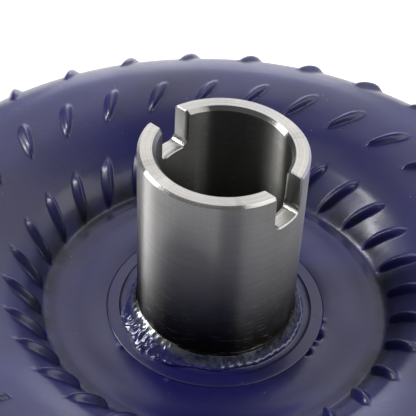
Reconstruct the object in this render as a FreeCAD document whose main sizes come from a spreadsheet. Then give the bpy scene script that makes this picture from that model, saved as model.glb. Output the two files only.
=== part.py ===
import FreeCAD, Part
import math
import os
import re
import Sketcher

# Torque converter: a three-element hydraulic coupling between an engine and an automatic gearbox.
#
# Millimetres, +Z along the axis from the engine side to the gearbox side.  The origin is the centre
# of the end face of the crankshaft pilot.  The pump hub's two drive notches lie on the X axis.
# Heights are counted from the flange plane, which is the top of the ring that the pump hub is
# welded to, so "flange_height + x" is a height x above that ring.

SIZES = [
    # housing, outside
    ("flange_height", 78.0),        # flange plane above the pilot's end face
    ("shell_radius", 121.9),        # outside of the impeller shell and of the front cover
    ("shoulder_curve", 30.0),       # curve of the shell from its crest out to its rim
    ("rim_drop", 3.1),              # straight rim between that curve and the seam
    ("crest_height", 18.8),         # highest ring of the shell above the flange plane
    ("crest_curve", 67.0),          # curve of the shell from its crest inwards
    ("crest_span", 29.9),           # from the crest in to the crease above the steep slope
    ("slope_run", 10.5),            # from the crease in to the slope's foot, in a shallow valley
    ("valley_width", 2.5),          # from there in to the edge of the flat ring round the hub
    ("valley_height", 0.2),
    ("plateau_height", 1.1),        # height of that ring's outer edge
    ("shell_wall", 3.2),
    # pump hub
    ("hub_radius", 23.81),
    ("hub_wall", 5.16),
    ("hub_length", 60.7),
    ("foot_step", 0.4),             # the hub's foot, inside the weld, is this much larger in radius
    ("foot_height", 4.0),           # top of the foot above the flange plane
    ("hub_bevel", 1.0),             # inside bevel of the hub's mouth
    ("hub_edge", 0.7),              # outside chamfer of the hub's mouth
    ("notch_width", 10.4),
    ("notch_depth", 12.1),
    ("notch_corner", 2.2),
    # ring that carries the hub
    ("weld_width", 2.59),           # leg of the hub's weld bead on the ring
    ("weld_leg", 3.7),              # leg of the same bead on the hub
    ("groove_width", 2.9),
    ("groove_depth", 1.6),
    ("flange_land", 3.8),           # land between the groove and the shell
    ("lip_width", 6.9),             # lip under the shell
    ("flange_wall", 8.0),
    ("small_weld", 3.0),            # leg of the other weld beads
    ("weld_crown", 1.3),            # how far the seam bead stands out
    ("seam_bead_width", 6.5),
    # vanes, and the beads pressed out of the shell over their tabs
    ("pump_vanes", 31),
    ("turbine_vanes", 29),
    ("vane_angle", 30.5),           # sweep of the vanes from the radial direction
    ("vane_phase", 10.66),          # azimuth of the first vane where it meets the foot of the slope
    ("vane_wall", 1.2),
    ("emboss_height", 1.8),
    ("inner_emboss_offset", 5.9),   # from the foot of the slope out to the inner beads
    ("inner_emboss_length", 15.5),
    ("middle_emboss_offset", 9.9),  # from the crest in to the middle beads
    ("middle_emboss_length", 13.0),
    ("outer_emboss_offset", 17.1),  # from the crest out to the outer beads
    ("outer_emboss_length", 12.5),
    # fluid circuit
    ("torus_height", -16.0),        # middle plane of the circuit
    ("core_inset", 2.9),            # from the crest in to the centre circle of the core rings
    ("pump_core_curve", 18.8),
    ("turbine_core_curve", 18.3),
    ("core_wall", 1.2),
    ("circuit_gap", 1.0),           # gap between impeller and turbine, each side of the middle plane
    # front cover and what fastens to the engine
    ("cover_wall", 4.5),
    ("cover_face", -56.5),          # outer face of the cover
    ("cover_corner", 23.9),
    ("pilot_radius", 21.63),
    ("pilot_chamfer", 1.5),
    ("pilot_foot_width", 3.4),      # foot that the pilot is welded by
    ("pilot_foot_height", 4.0),
    ("bolt_circle_radius", 136.525),
    ("bolt_hole_radius", 4.76),
    ("bolt_count", 3),
    ("mount_pad_wall", 9.5),
    ("mount_pad_width", 40.0),
    ("mount_pad_inner", 72.0),
    ("mount_pad_end", 11.475),      # from the bolt circle to the pad's end
    ("mount_pad_corner", 10.0),
    ("plug_radius", 8.0),
    ("plug_shank_radius", 5.0),
    ("plug_socket_radius", 3.6),    # to the corners of the plug's six-sided socket
    ("plug_circle", 78.0),
    # turbine
    ("rim_gap", 3.2),               # between the turbine's rim and the shell
    ("turbine_rim_curve", 28.0),
    ("turbine_crest_height", -47.6),
    ("turbine_crest_curve", 67.0),
    ("turbine_crest_span", 27.5),
    ("turbine_slope_run", 14.0),
    ("turbine_flat_height", -35.2),
    ("turbine_wall", 2.0),
    ("turbine_flange_wall", 2.8),
    ("turbine_spline_radius", 12.7),
    ("turbine_spline_teeth", 27),
    ("spline_depth", 0.9),
    ("rivet_margin", 6.0),          # from the rivets' circle to the edges beside it
    ("rivet_radius", 2.4),
    ("rivet_head_radius", 4.08),
    ("rivet_head_wall", 1.2),
    ("rivet_count", 12),
    ("thrust_washer_wall", 2.5),
    # stator and its one-way clutch
    ("stator_vanes", 15),
    ("stator_ring_gap", 0.8),       # between the stator's ring and the core ring
    ("stator_ring_wall", 2.4),
    ("stator_hub_wall", 9.0),
    ("stator_band", 20.4),          # height of the stator's outer ring
    ("stator_vane_lean", 5.52),     # from a vane's middle to its edge, along the stator's rim
    ("stator_suction_curve", 16.0),
    ("stator_pressure_curve", 32.9),
    ("cam_wall", 5.0),              # behind the rollers
    ("roller_seat_depth", 1.4),
    ("race_radius", 25.0),
    ("race_spline_radius", 16.0),
    ("race_spline_teeth", 29),
    ("roller_radius", 4.0),
    ("roller_count", 10),
    ("cap_wall", 2.5),
    ("snap_ring_wall", 1.2),
    ("snap_ring_width", 2.4),       # how far the snap rings stand out of the stator's bore wall
    ("snap_ring_bite", 1.2),        # how far they stand into it
    # needle thrust bearings
    ("bearing_race_wall", 1.0),
    ("bearing_width", 8.0),
    ("bearing_margin", 1.0),
    ("rear_needle_radius", 1.48),
    ("middle_needle_radius", 1.23),
    ("race_overhang", 3.0),         # how far the middle bearing reaches under the clutch's inner race
    ("needle_count", 24),
    ("needle_end", 1.2),            # cage material beyond each end of a needle
    # clearances
    ("running", 0.05),              # radial clearance of a running fit
    ("side_play", 0.3),             # clearance between faces that pass each other
    ("seat", 0.02),                 # clearance of a piece that sits in another
]

# Sizes that follow from the ones above; a rule calls them "own.name".
DERIVED = {
    "crest_radius": "dim.shell_radius - dim.shoulder_curve",
    "crease_radius": "own.crest_radius - dim.crest_span",
    "slope_foot_radius": "own.crease_radius - dim.slope_run",
    "plateau_radius": "own.slope_foot_radius - dim.valley_width",
    "shoulder_height": "dim.crest_height - dim.shoulder_curve",
    "seam_height": "own.shoulder_height - dim.rim_drop",
    "shell_inside_radius": "dim.shell_radius - dim.shell_wall",
    "hub_bore_radius": "dim.hub_radius - dim.hub_wall",
    "hub_foot_radius": "dim.hub_radius + dim.foot_step",
    "groove_inner_radius": "dim.hub_radius + dim.weld_width",
    "groove_outer_radius": "own.groove_inner_radius + dim.groove_width",
    "flange_radius": "own.groove_outer_radius + dim.flange_land",
    "flange_lip_radius": "own.flange_radius + dim.lip_width",
    "inner_emboss_radius": "own.slope_foot_radius + dim.inner_emboss_offset",
    "middle_emboss_radius": "own.crest_radius - dim.middle_emboss_offset",
    "outer_emboss_radius": "own.crest_radius + dim.outer_emboss_offset",
    "core_radius": "own.crest_radius - dim.core_inset",
    "cover_flat_radius": "dim.shell_radius - dim.cover_corner",
    "pilot_foot_radius": "dim.pilot_radius + dim.pilot_foot_width",
    "mount_pad_outer": "dim.bolt_circle_radius + dim.mount_pad_end",
    "turbine_radius": "own.shell_inside_radius - dim.rim_gap",
    "turbine_inside_radius": "own.turbine_radius - dim.turbine_wall",
    "turbine_crest_radius": "own.turbine_radius - dim.turbine_rim_curve",
    "turbine_rim_height": "dim.turbine_crest_height + dim.turbine_rim_curve",
    "turbine_crease_radius": "own.turbine_crest_radius - dim.turbine_crest_span",
    "turbine_flat_radius": "own.turbine_crease_radius - dim.turbine_slope_run",
    "middle_bearing_inner": "dim.race_radius - dim.race_overhang",
    "middle_bearing_outer": "own.middle_bearing_inner + dim.bearing_width",
    "turbine_hub_radius": "own.middle_bearing_inner - dim.bearing_margin",
    "turbine_boss_radius": "own.middle_bearing_outer + dim.bearing_margin",
    "rivet_circle": "own.turbine_boss_radius + dim.rivet_margin",
    "turbine_flange_radius": "own.rivet_circle + dim.rivet_margin",
    "stator_ring_radius": "own.core_radius - dim.pump_core_curve - dim.stator_ring_gap",
    "cam_inner_radius": "dim.race_radius + 2 * dim.roller_radius - dim.roller_seat_depth",
    "stator_bore_radius": "dim.race_radius + 2 * dim.roller_radius + dim.cam_wall",
    "stator_hub_radius": "own.stator_bore_radius + dim.stator_hub_wall",
    # The curves of a clutch spring are a little more than half its height.
    "spring_inner_curve": "dim.roller_radius * 0.72",
    "spring_outer_curve": "dim.roller_radius * 0.85",
    "snap_ring_inner": "own.stator_bore_radius - dim.snap_ring_width",
    "rear_bearing_outer": "own.snap_ring_inner - dim.bearing_margin",
    "rear_bearing_inner": "own.rear_bearing_outer - dim.bearing_width",
}

BEAD_HOLLOW = 1.6       # curve of a weld bead's hollow face over the bead's leg
SPLINE_TAPER = 0.8      # width of a spline groove's bottom over its mouth
CAGE_SHARE = 0.6        # thickness of a needle cage over the needles' diameter

doc = FreeCAD.newDocument("torque_converter")
sheet = doc.addObject("Spreadsheet::Sheet", "dim")
for row, (alias, size) in enumerate(SIZES, start=1):
    sheet.set("A%d" % row, alias)
    sheet.set("B%d" % row, str(size))
    sheet.setAlias("B%d" % row, alias)
doc.recompute()

subparts = []


def full(rule):
    """The rule with each derived size written out in sizes of the sheet."""
    return re.sub(r"own\.(\w+)", lambda found: "(" + full(DERIVED[found.group(1)]) + ")", rule)


def value(rule):
    """The number that a rule stands for."""
    return float(sheet.evalExpression(full(rule)))


def at(height_rule):
    """A height counted from the flange plane, as a height of the whole part."""
    return "dim.flange_height + (%s)" % height_rule


def new_body(label):
    """An empty body that will be one sub-part."""
    body = doc.addObject("PartDesign::Body", label)
    body.Label = label
    body.AllowCompound = True
    return body


def keep(item, label):
    """Files a finished object as the sub-part of that name."""
    item.Label = label
    subparts.append(item)
    return item


def origin_part(body, role):
    """The body's own plane or axis of that role."""
    return [feature for feature in body.Origin.OriginFeatures if feature.Role == role][0]


def new_sketch(body, name, plane, offset=None):
    """A sketch on one of the body's planes, moved along the plane's normal by the offset rule."""
    sketch = body.newObject("Sketcher::SketchObject", name)
    sketch.AttachmentSupport = [(origin_part(body, plane), "")]
    sketch.MapMode = "FlatFace"
    if offset:
        sketch.setExpression(".AttachmentOffset.Base.z", full(offset))
    return sketch


def bind(sketch, constraint, rule):
    """Adds a constraint whose size follows the rule."""
    index = sketch.addConstraint(constraint)
    sketch.setExpression("Constraints[%d]" % index, full(rule))


def pin(sketch, geometry, point, across, up):
    """Fixes a point of the sketch at the two rules' distances from the origin."""
    for kind, rule in (("DistanceX", across), ("DistanceY", up)):
        bind(sketch, Sketcher.Constraint(kind, -1, 1, geometry, point, value(rule)), rule)


def circle(sketch, across, up, radius):
    """A circle whose centre and radius follow the rules."""
    centre = FreeCAD.Vector(value(across), value(up), 0)
    index = sketch.addGeometry(Part.Circle(centre, FreeCAD.Vector(0, 0, 1), value(radius)))
    pin(sketch, index, 3, across, up)
    bind(sketch, Sketcher.Constraint("Radius", index, value(radius)), radius)


def arc_between(start, end, radius, turn):
    """The short arc of that radius; its centre is left of the way there for turn 1, right for -1."""
    chord = end - start
    left = FreeCAD.Vector(-chord.y, chord.x, 0).normalize()
    rise = math.sqrt(max(radius ** 2 - (chord.Length / 2) ** 2, 0.0))
    centre = (start + end) * 0.5 + left * (turn * rise)
    return Part.Arc(start, centre - left * (turn * radius), end)


def outline(sketch, corners):
    """A closed outline.  Each corner is (across, up), or (across, up, radius, turn) where an arc
    leaves it for the next corner."""
    points = [FreeCAD.Vector(value(corner[0]), value(corner[1]), 0) for corner in corners]
    ends = []
    for number, corner in enumerate(corners):
        start = points[number]
        end = points[(number + 1) % len(points)]
        if len(corner) == 2:
            index = sketch.addGeometry(Part.LineSegment(start, end))
        else:
            index = sketch.addGeometry(arc_between(start, end, value(corner[2]), corner[3]))
        forward = sketch.getPoint(index, 1).distanceToPoint(start) < 1e-6
        first, last = (1, 2) if forward else (2, 1)
        ends.append((index, first, last))
    for number, (index, first, last) in enumerate(ends):
        following, following_first, following_last = ends[(number + 1) % len(ends)]
        sketch.addConstraint(Sketcher.Constraint("Coincident", index, last, following, following_first))
        pin(sketch, index, first, corners[number][0], corners[number][1])
        if len(corners[number]) == 4:
            radius = corners[number][2]
            bind(sketch, Sketcher.Constraint("Radius", index, value(radius)), radius)


def revolve(body, name, corners, kind="Revolution"):
    """Turns an outline in the (radius, height) plane about Z, adding to the body or cutting it."""
    sketch = new_sketch(body, name + "_outline", "XZ_Plane")
    outline(sketch, corners)
    feature = body.newObject("PartDesign::" + kind, name)
    feature.Profile = sketch
    feature.ReferenceAxis = (sketch, ["V_Axis"])
    feature.Angle = 360
    return feature


def extrude(body, name, sketch, length, backwards=False):
    """Pads a sketch along its normal."""
    feature = body.newObject("PartDesign::Pad", name)
    feature.Profile = sketch
    feature.setExpression("Length", full(length))
    feature.Reversed = backwards
    return feature


def cut_down(body, name, sketch, length):
    """Pockets a sketch against its normal, to the depth the rule gives."""
    doc.recompute()
    before = body.Shape.Volume
    feature = body.newObject("PartDesign::Pocket", name)
    feature.Profile = sketch
    feature.setExpression("Length", full(length))
    doc.recompute()
    if not body.Shape.Volume < before:
        raise RuntimeError(name + " cuts nothing")
    return feature


def around(body, features, count):
    """Repeats features evenly around Z."""
    pattern = body.newObject("PartDesign::PolarPattern", features[0].Name + "_around")
    pattern.Originals = features
    pattern.Axis = (origin_part(body, "Z_Axis"), [""])
    pattern.Angle = 360
    pattern.setExpression("Occurrences", full(count))
    body.Tip = pattern
    return pattern


def ring(label, inner, outer, bottom, top):
    """A plain ring of rectangular section: a washer or a bearing race."""
    body = new_body(label)
    revolve(body, label + "_turned", [(inner, bottom), (outer, bottom), (outer, top), (inner, top)])
    return keep(body, label)


def fillet_bead(label, radius, height, leg, outwards, upwards):
    """A weld bead with a hollow face in the corner at (radius, height): legs outwards and upwards."""
    body = new_body(label)
    far = "(%s) + (%s) * %d" % (radius, leg, outwards)
    tip = "(%s) + (%s) * %d" % (height, leg, upwards)
    turn = outwards * upwards
    revolve(body, label + "_turned",
            [(radius, height), (far, height, "(%s) * %s" % (leg, BEAD_HOLLOW), -turn), (radius, tip)])
    return keep(body, label)


# ---------------------------------------------------------------- impeller shell

# Crease height: the curve that leaves the crest level, followed down to the crease.
PUMP_CREASE = ("dim.crest_height - dim.crest_curve"
               " + sqrt(dim.crest_curve ^ 2 - dim.crest_span ^ 2)")
# The steep slope's angle, and how far its inside face is shifted by the wall.
PUMP_SLOPE = ("atan(((%s) - dim.valley_height) / dim.slope_run)"
              % PUMP_CREASE)
PUMP_CREASE_INSIDE_RADIUS = "own.crease_radius + dim.shell_wall * sin(%s)" % PUMP_SLOPE
PUMP_INSIDE_CURVE = "dim.crest_curve - dim.shell_wall"
PUMP_CREASE_INSIDE = ("dim.crest_height - dim.crest_curve + sqrt((%s) ^ 2"
                      " - (own.crest_radius - (%s)) ^ 2)" % (PUMP_INSIDE_CURVE, PUMP_CREASE_INSIDE_RADIUS))
# Foot of the slope on the inside, where it meets the flat underside of the plateau.
PUMP_FOOT_INSIDE = ("(%s) - ((%s) + dim.shell_wall) / tan(%s)"
                    % (PUMP_CREASE_INSIDE_RADIUS, PUMP_CREASE_INSIDE, PUMP_SLOPE))


def vane_azimuth(radius):
    """Azimuth in degrees of the first vane at a radius: a spiral that keeps its angle to the
    radial direction, so the azimuth falls with the logarithm of the radius."""
    return ("dim.vane_phase - tan(dim.vane_angle) * 180 / pi * log((%s) / own.slope_foot_radius)"
            % radius)


def emboss(body, name, radius, height, slope, length):
    """One raised bead on the shell over a vane: a round-ended bar, half sunk in the shell, that lies
    along the vane and is tilted with the shell's slope there (degrees, rising outwards)."""
    tilt = math.radians(value(slope))
    sweep = math.tan(math.radians(value("dim.vane_angle")))
    along = FreeCAD.Vector(1.0, -sweep, math.tan(tilt)).normalize()
    normal = FreeCAD.Vector(-math.sin(tilt), 0, math.cos(tilt))
    turned = FreeCAD.Rotation(along, normal.cross(along), normal, "ZXY")
    about_axis = FreeCAD.Rotation(FreeCAD.Vector(0, 0, 1), value(vane_azimuth(radius)))
    place = about_axis.multVec(FreeCAD.Vector(value(radius), 0, value(at(height))))
    sketch = new_sketch(body, name + "_outline", "XY_Plane")
    sketch.AttachmentOffset = FreeCAD.Placement(place, about_axis.multiply(turned))
    half = "(%s) / 2" % length
    side = "dim.emboss_height"
    outline(sketch, [
        ("-" + half, "0"),
        (half, "0", side, 1),
        ("%s - %s" % (half, side), side),
        ("%s - %s" % (side, half), side, side, 1),
    ])
    bead = body.newObject("PartDesign::Revolution", name)
    bead.Profile = sketch
    bead.ReferenceAxis = (sketch, ["H_Axis"])
    bead.Angle = 360
    return bead


def impeller_shell():
    """The pressed steel half of the housing on the gearbox side, with a row of beads where each
    vane's tabs press it out."""
    body = new_body("impeller_shell")
    inner = "own.flange_radius + dim.seat"
    revolve(body, "shell_pressing", [
        (inner, at("0")),
        ("own.plateau_radius", at("dim.plateau_height")),
        ("own.slope_foot_radius", at("dim.valley_height")),
        ("own.crease_radius", at(PUMP_CREASE), "dim.crest_curve", -1),
        ("own.crest_radius", at("dim.crest_height"), "dim.shoulder_curve", -1),
        ("dim.shell_radius", at("own.shoulder_height")),
        ("dim.shell_radius", at("own.seam_height")),
        ("own.shell_inside_radius", at("own.seam_height")),
        ("own.shell_inside_radius", at("own.shoulder_height"), "dim.shoulder_curve - dim.shell_wall", 1),
        ("own.crest_radius", at("dim.crest_height - dim.shell_wall"), PUMP_INSIDE_CURVE, 1),
        (PUMP_CREASE_INSIDE_RADIUS, at(PUMP_CREASE_INSIDE)),
        (PUMP_FOOT_INSIDE, at("-dim.shell_wall")),
        (inner, at("-dim.shell_wall")),
    ])
    doc.recompute()
    on_slope = ("dim.valley_height + dim.inner_emboss_offset * tan(%s)"
                % PUMP_SLOPE)
    on_curve = ("dim.crest_height - dim.crest_curve"
                " + sqrt(dim.crest_curve ^ 2 - dim.middle_emboss_offset ^ 2)")
    on_shoulder = "own.shoulder_height + sqrt(dim.shoulder_curve ^ 2 - dim.outer_emboss_offset ^ 2)"
    curve_slope = "asin(dim.middle_emboss_offset / dim.crest_curve)"
    shoulder_slope = "-asin(dim.outer_emboss_offset / dim.shoulder_curve)"
    beads = [
        emboss(body, "inner_bead", "own.inner_emboss_radius", on_slope, PUMP_SLOPE,
               "dim.inner_emboss_length"),
        emboss(body, "middle_bead", "own.middle_emboss_radius", on_curve, curve_slope,
               "dim.middle_emboss_length"),
        emboss(body, "outer_bead", "own.outer_emboss_radius", on_shoulder, shoulder_slope,
               "dim.outer_emboss_length"),
    ]
    around(body, beads, "dim.pump_vanes")
    return keep(body, "impeller_shell")


# ---------------------------------------------------------------- pump hub and its flange

def pump_hub():
    """The ground steel tube that drives the gearbox pump through two notches in its mouth."""
    body = new_body("pump_hub")
    top = "dim.hub_length"
    foot = "-dim.flange_wall"
    revolve(body, "hub_turned", [
        ("own.hub_bore_radius", at(foot)),
        ("own.hub_foot_radius", at(foot)),
        ("own.hub_foot_radius", at("dim.foot_height")),
        ("dim.hub_radius", at("dim.foot_height")),
        ("dim.hub_radius", at(top + " - dim.hub_edge")),
        ("dim.hub_radius - dim.hub_edge", at(top)),
        ("own.hub_bore_radius + dim.hub_bevel", at(top)),
        ("own.hub_bore_radius", at(top + " - dim.hub_bevel")),
    ])
    half = "dim.notch_width / 2"
    floor = at("dim.hub_length - dim.notch_depth")
    above = at("dim.hub_length + dim.hub_bevel")
    sketch = new_sketch(body, "notch_outline", "YZ_Plane")
    outline(sketch, [
        ("-" + half, above),
        ("-" + half, "%s + dim.notch_corner" % floor, "dim.notch_corner", 1),
        ("dim.notch_corner - " + half, floor),
        (half + " - dim.notch_corner", floor, "dim.notch_corner", 1),
        (half, "%s + dim.notch_corner" % floor),
        (half, above),
    ])
    doc.recompute()
    before = body.Shape.Volume
    notches = body.newObject("PartDesign::Pocket", "notches")
    notches.Profile = sketch
    notches.SideType = "Symmetric"
    notches.setExpression("Length", "dim.hub_radius * 3")
    doc.recompute()
    if not body.Shape.Volume < before:
        raise RuntimeError("the notches cut nothing")
    return keep(body, "pump_hub")


def hub_flange():
    """The ring that joins the hub to the shell: a groove around the weld and a lip under the shell."""
    body = new_body("hub_flange")
    lip_top = "-dim.shell_wall - dim.seat"
    revolve(body, "flange_turned", [
        ("own.hub_foot_radius + dim.seat", at("-dim.flange_wall")),
        ("own.flange_lip_radius", at("-dim.flange_wall")),
        ("own.flange_lip_radius", at(lip_top)),
        ("own.flange_radius", at(lip_top)),
        ("own.flange_radius", at("0")),
        ("own.groove_outer_radius", at("0")),
        ("own.groove_outer_radius", at("-dim.groove_depth")),
        ("own.groove_inner_radius", at("-dim.groove_depth")),
        ("own.groove_inner_radius", at("0")),
        ("own.hub_foot_radius + dim.seat", at("0")),
    ])
    return keep(body, "hub_flange")


def hub_weld():
    """The bead between hub and flange: a hollow face from the groove's edge up to the hub."""
    body = new_body("hub_weld")
    revolve(body, "hub_weld_turned", [
        ("own.hub_foot_radius + dim.seat", at("dim.seat")),
        ("own.groove_inner_radius", at("dim.seat"), "dim.weld_leg * %s" % BEAD_HOLLOW, -1),
        ("own.hub_foot_radius + dim.seat", at("dim.weld_leg")),
    ])
    return keep(body, "hub_weld")


# ---------------------------------------------------------------- vanes and core rings

def vane_strips(label, count, inner, outer, bottom, top, hand):
    """Upright strips that follow the vanes' spiral in plan, from the inner to the outer radius.
    The hand is 1 for the impeller and -1 for the turbine, whose vanes sweep the other way."""
    body = new_body(label)
    half_wall = "dim.vane_wall / 2 / cos(dim.vane_angle) / (%s) * 180 / pi"

    def corner(radius, side):
        """The strip's corner at a radius, on one side of the vane's middle line."""
        azimuth = "(%s) * %d + (%s) * %d" % (vane_azimuth(radius), hand, half_wall % radius, side)
        return ("(%s) * cos(%s)" % (radius, azimuth), "(%s) * sin(%s)" % (radius, azimuth))

    bend = "sqrt((%s) * (%s)) / cos(dim.vane_angle)" % (inner, outer)
    sketch = new_sketch(body, label + "_outline", "XY_Plane", bottom)
    outline(sketch, [
        corner(inner, 1) + (bend, -hand),
        corner(outer, 1),
        corner(outer, -1) + (bend, hand),
        corner(inner, -1),
    ])
    strip = extrude(body, label + "_strip", sketch, "(%s) - (%s)" % (top, bottom))
    around(body, [strip], count)
    return body


def vanes_in_passage(label, strips, passage):
    """The part of the strips that lies in the passage between shell and core ring."""
    item = doc.addObject("Part::Common", label)
    item.Base = strips
    item.Tool = passage
    return keep(item, label)


def core_edge(curve, height):
    """How far the core ring reaches from its centre circle at a height."""
    return "sqrt((%s) ^ 2 - ((%s) - dim.torus_height) ^ 2)" % (curve, height)


def impeller_vanes():
    """The pump's vanes, brazed to the shell's inside and to the core ring."""
    edge = "-dim.shell_wall + dim.vane_wall * 2"
    rim = "own.seam_height"
    inlet = "(%s) + ((%s) + dim.shell_wall) / tan(%s)" % (PUMP_FOOT_INSIDE, edge, PUMP_SLOPE)
    curve = "dim.pump_core_curve"
    passage = new_body("impeller_passage")
    revolve(passage, "impeller_passage_turned", [
        (inlet, at(edge)),
        ("own.core_radius - " + core_edge(curve, edge), at(edge), curve, -1),
        ("own.core_radius", at("dim.torus_height + " + curve), curve, -1),
        ("own.core_radius + " + core_edge(curve, rim), at(rim)),
        ("own.shell_inside_radius", at(rim)),
        ("own.shell_inside_radius", at("own.shoulder_height"), "dim.shoulder_curve - dim.shell_wall", 1),
        ("own.crest_radius", at("dim.crest_height - dim.shell_wall"), PUMP_INSIDE_CURVE, 1),
        (PUMP_CREASE_INSIDE_RADIUS, at(PUMP_CREASE_INSIDE)),
    ])
    strips = vane_strips("impeller_strips", "dim.pump_vanes", "own.slope_foot_radius",
                         "dim.shell_radius", at("dim.torus_height"), at("dim.crest_height"), 1)
    return vanes_in_passage("impeller_vanes", strips, passage)


def core_ring(label, curve, side):
    """Half of the hollow core of the fluid circuit: above the middle plane for side 1, below for -1."""
    body = new_body(label)
    rim = "dim.torus_height + dim.circuit_gap * %d" % side
    inside = "(%s) - dim.core_wall" % curve
    crest = "dim.torus_height + (%s) * %d" % (curve, side)
    crest_inside = "dim.torus_height + (%s) * %d" % (inside, side)
    revolve(body, label + "_turned", [
        ("own.core_radius - " + core_edge(curve, rim), at(rim), curve, -side),
        ("own.core_radius", at(crest), curve, -side),
        ("own.core_radius + " + core_edge(curve, rim), at(rim)),
        ("own.core_radius + " + core_edge(inside, rim), at(rim), inside, side),
        ("own.core_radius", at(crest_inside), inside, side),
        ("own.core_radius - " + core_edge(inside, rim), at(rim)),
    ])
    return keep(body, label)


# ---------------------------------------------------------------- front cover and engine side

def front_cover():
    """The dished steel half of the housing on the engine side, with a hole for the drain plug."""
    body = new_body("front_cover")
    corner = "dim.cover_corner"
    inside_face = "dim.cover_face + dim.cover_wall"
    revolve(body, "cover_pressing", [
        ("0", at("dim.cover_face")),
        ("own.cover_flat_radius", at("dim.cover_face"), corner, 1),
        ("dim.shell_radius", at("dim.cover_face + " + corner)),
        ("dim.shell_radius", at("own.seam_height - dim.side_play")),
        ("dim.shell_radius - dim.cover_wall", at("own.seam_height - dim.side_play")),
        ("dim.shell_radius - dim.cover_wall", at("dim.cover_face + " + corner),
         "(%s) - dim.cover_wall" % corner, -1),
        ("own.cover_flat_radius", at(inside_face)),
        ("0", at(inside_face)),
    ])
    sketch = new_sketch(body, "plug_hole_outline", "XY_Plane", at(inside_face + " + dim.seat"))
    circle(sketch, "dim.plug_circle", "0", "dim.plug_shank_radius + dim.seat")
    cut_down(body, "plug_hole", sketch, "dim.cover_wall + 2 * dim.seat")
    return keep(body, "front_cover")


def crank_pilot():
    """The turned boss that centres the converter in the end of the crankshaft."""
    body = new_body("crank_pilot")
    revolve(body, "pilot_turned", [
        ("0", "0"),
        ("dim.pilot_radius - dim.pilot_chamfer", "0"),
        ("dim.pilot_radius", "dim.pilot_chamfer"),
        ("dim.pilot_radius", at("dim.cover_face - dim.pilot_foot_height")),
        ("own.pilot_foot_radius", at("dim.cover_face - dim.pilot_foot_height")),
        ("own.pilot_foot_radius", at("dim.cover_face")),
        ("0", at("dim.cover_face")),
    ])
    return keep(body, "crank_pilot")


def mounting_pads():
    """Thick tabs welded to the cover, which take the flexplate bolts on a circle outside the shell."""
    body = new_body("mounting_pads")
    half = "dim.mount_pad_width / 2"
    corner = "dim.mount_pad_corner"
    end = "own.mount_pad_outer"
    sketch = new_sketch(body, "pad_outline", "XY_Plane", at("dim.cover_face - dim.mount_pad_wall"))
    outline(sketch, [
        ("-" + half, "dim.mount_pad_inner"),
        (half, "dim.mount_pad_inner"),
        (half, "%s - %s" % (end, corner), corner, 1),
        ("%s - %s" % (half, corner), end),
        ("%s - %s" % (corner, half), end, corner, 1),
        ("-" + half, "%s - %s" % (end, corner)),
    ])
    circle(sketch, "0", "dim.bolt_circle_radius", "dim.bolt_hole_radius")
    pad = extrude(body, "pad", sketch, "dim.mount_pad_wall")
    around(body, [pad], "dim.bolt_count")
    return keep(body, "mounting_pads")


def pad_welds():
    """A bead along each side of each mounting pad, on the flat of the cover."""
    body = new_body("pad_welds")
    edge = "dim.mount_pad_width / 2"
    far = "%s + dim.small_weld" % edge
    low = at("dim.cover_face - dim.small_weld")
    high = at("dim.cover_face")
    # The bead ends where the cover's flat ends beside the pad.
    reach = "sqrt(own.cover_flat_radius ^ 2 - (%s) ^ 2)" % far
    beads = []
    for side in (1, -1):
        sketch = new_sketch(body, "bead_outline", "XZ_Plane", "-(%s)" % reach)
        near_x = "(%s) * %d" % (edge, side)
        far_x = "(%s) * %d" % (far, side)
        outline(sketch, [(near_x, low), (far_x, high), (near_x, high)])
        beads.append(extrude(body, "bead", sketch, "(%s) - dim.mount_pad_inner" % reach))
    around(body, beads, "dim.bolt_count")
    return keep(body, "pad_welds")


def seam_weld():
    """The machine-made bead that closes the housing where shell and cover meet."""
    body = new_body("seam_weld")
    half = "dim.seam_bead_width / 2"
    # Radius of the arc that rises by the crown over the bead's width.
    crown_curve = "((%s) ^ 2 + dim.weld_crown ^ 2) / 2 / dim.weld_crown" % half
    revolve(body, "seam_bead", [
        ("dim.shell_radius", at("own.seam_height - " + half), crown_curve, 1),
        ("dim.shell_radius", at("own.seam_height + " + half)),
    ])
    return keep(body, "seam_weld")


def drain_plug():
    """A screwed plug with a six-sided socket, in the cover."""
    body = new_body("drain_plug")
    head_face = "dim.cover_face - dim.small_weld"
    for name, low, high, radius in (
            ("plug_head", head_face, "dim.cover_face", "dim.plug_radius"),
            ("plug_shank", "dim.cover_face", "dim.cover_face + dim.cover_wall", "dim.plug_shank_radius")):
        sketch = new_sketch(body, name + "_outline", "XY_Plane", at(low))
        circle(sketch, "dim.plug_circle", "0", radius)
        extrude(body, name, sketch, "(%s) - (%s)" % (high, low))
    socket = new_sketch(body, "socket_outline", "XY_Plane", at(head_face + " + dim.small_weld * 1.5"))
    corners = []
    for step in range(6):
        turn = 360 / 6 * (step + 0.5)
        corners.append(("dim.plug_circle + dim.plug_socket_radius * cos(%d)" % turn,
                        "dim.plug_socket_radius * sin(%d)" % turn))
    outline(socket, corners)
    cut_down(body, "socket", socket, "dim.small_weld * 1.5 + dim.seat")
    return keep(body, "drain_plug")


def balance_weight():
    """A small plate welded to the cover to balance the converter."""
    body = new_body("balance_weight")
    low = at("dim.cover_face - dim.small_weld")
    sketch = new_sketch(body, "weight_outline", "XY_Plane", low)
    inner = "-(dim.plug_circle + dim.mount_pad_corner)"
    outer = "-(dim.plug_circle - dim.mount_pad_corner)"
    outline(sketch, [
        (inner, "-dim.mount_pad_width / 4"),
        (outer, "-dim.mount_pad_width / 4"),
        (outer, "dim.mount_pad_width / 4"),
        (inner, "dim.mount_pad_width / 4"),
    ])
    extrude(body, "weight", sketch, "dim.small_weld")
    return keep(body, "balance_weight")


# ---------------------------------------------------------------- turbine

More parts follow.
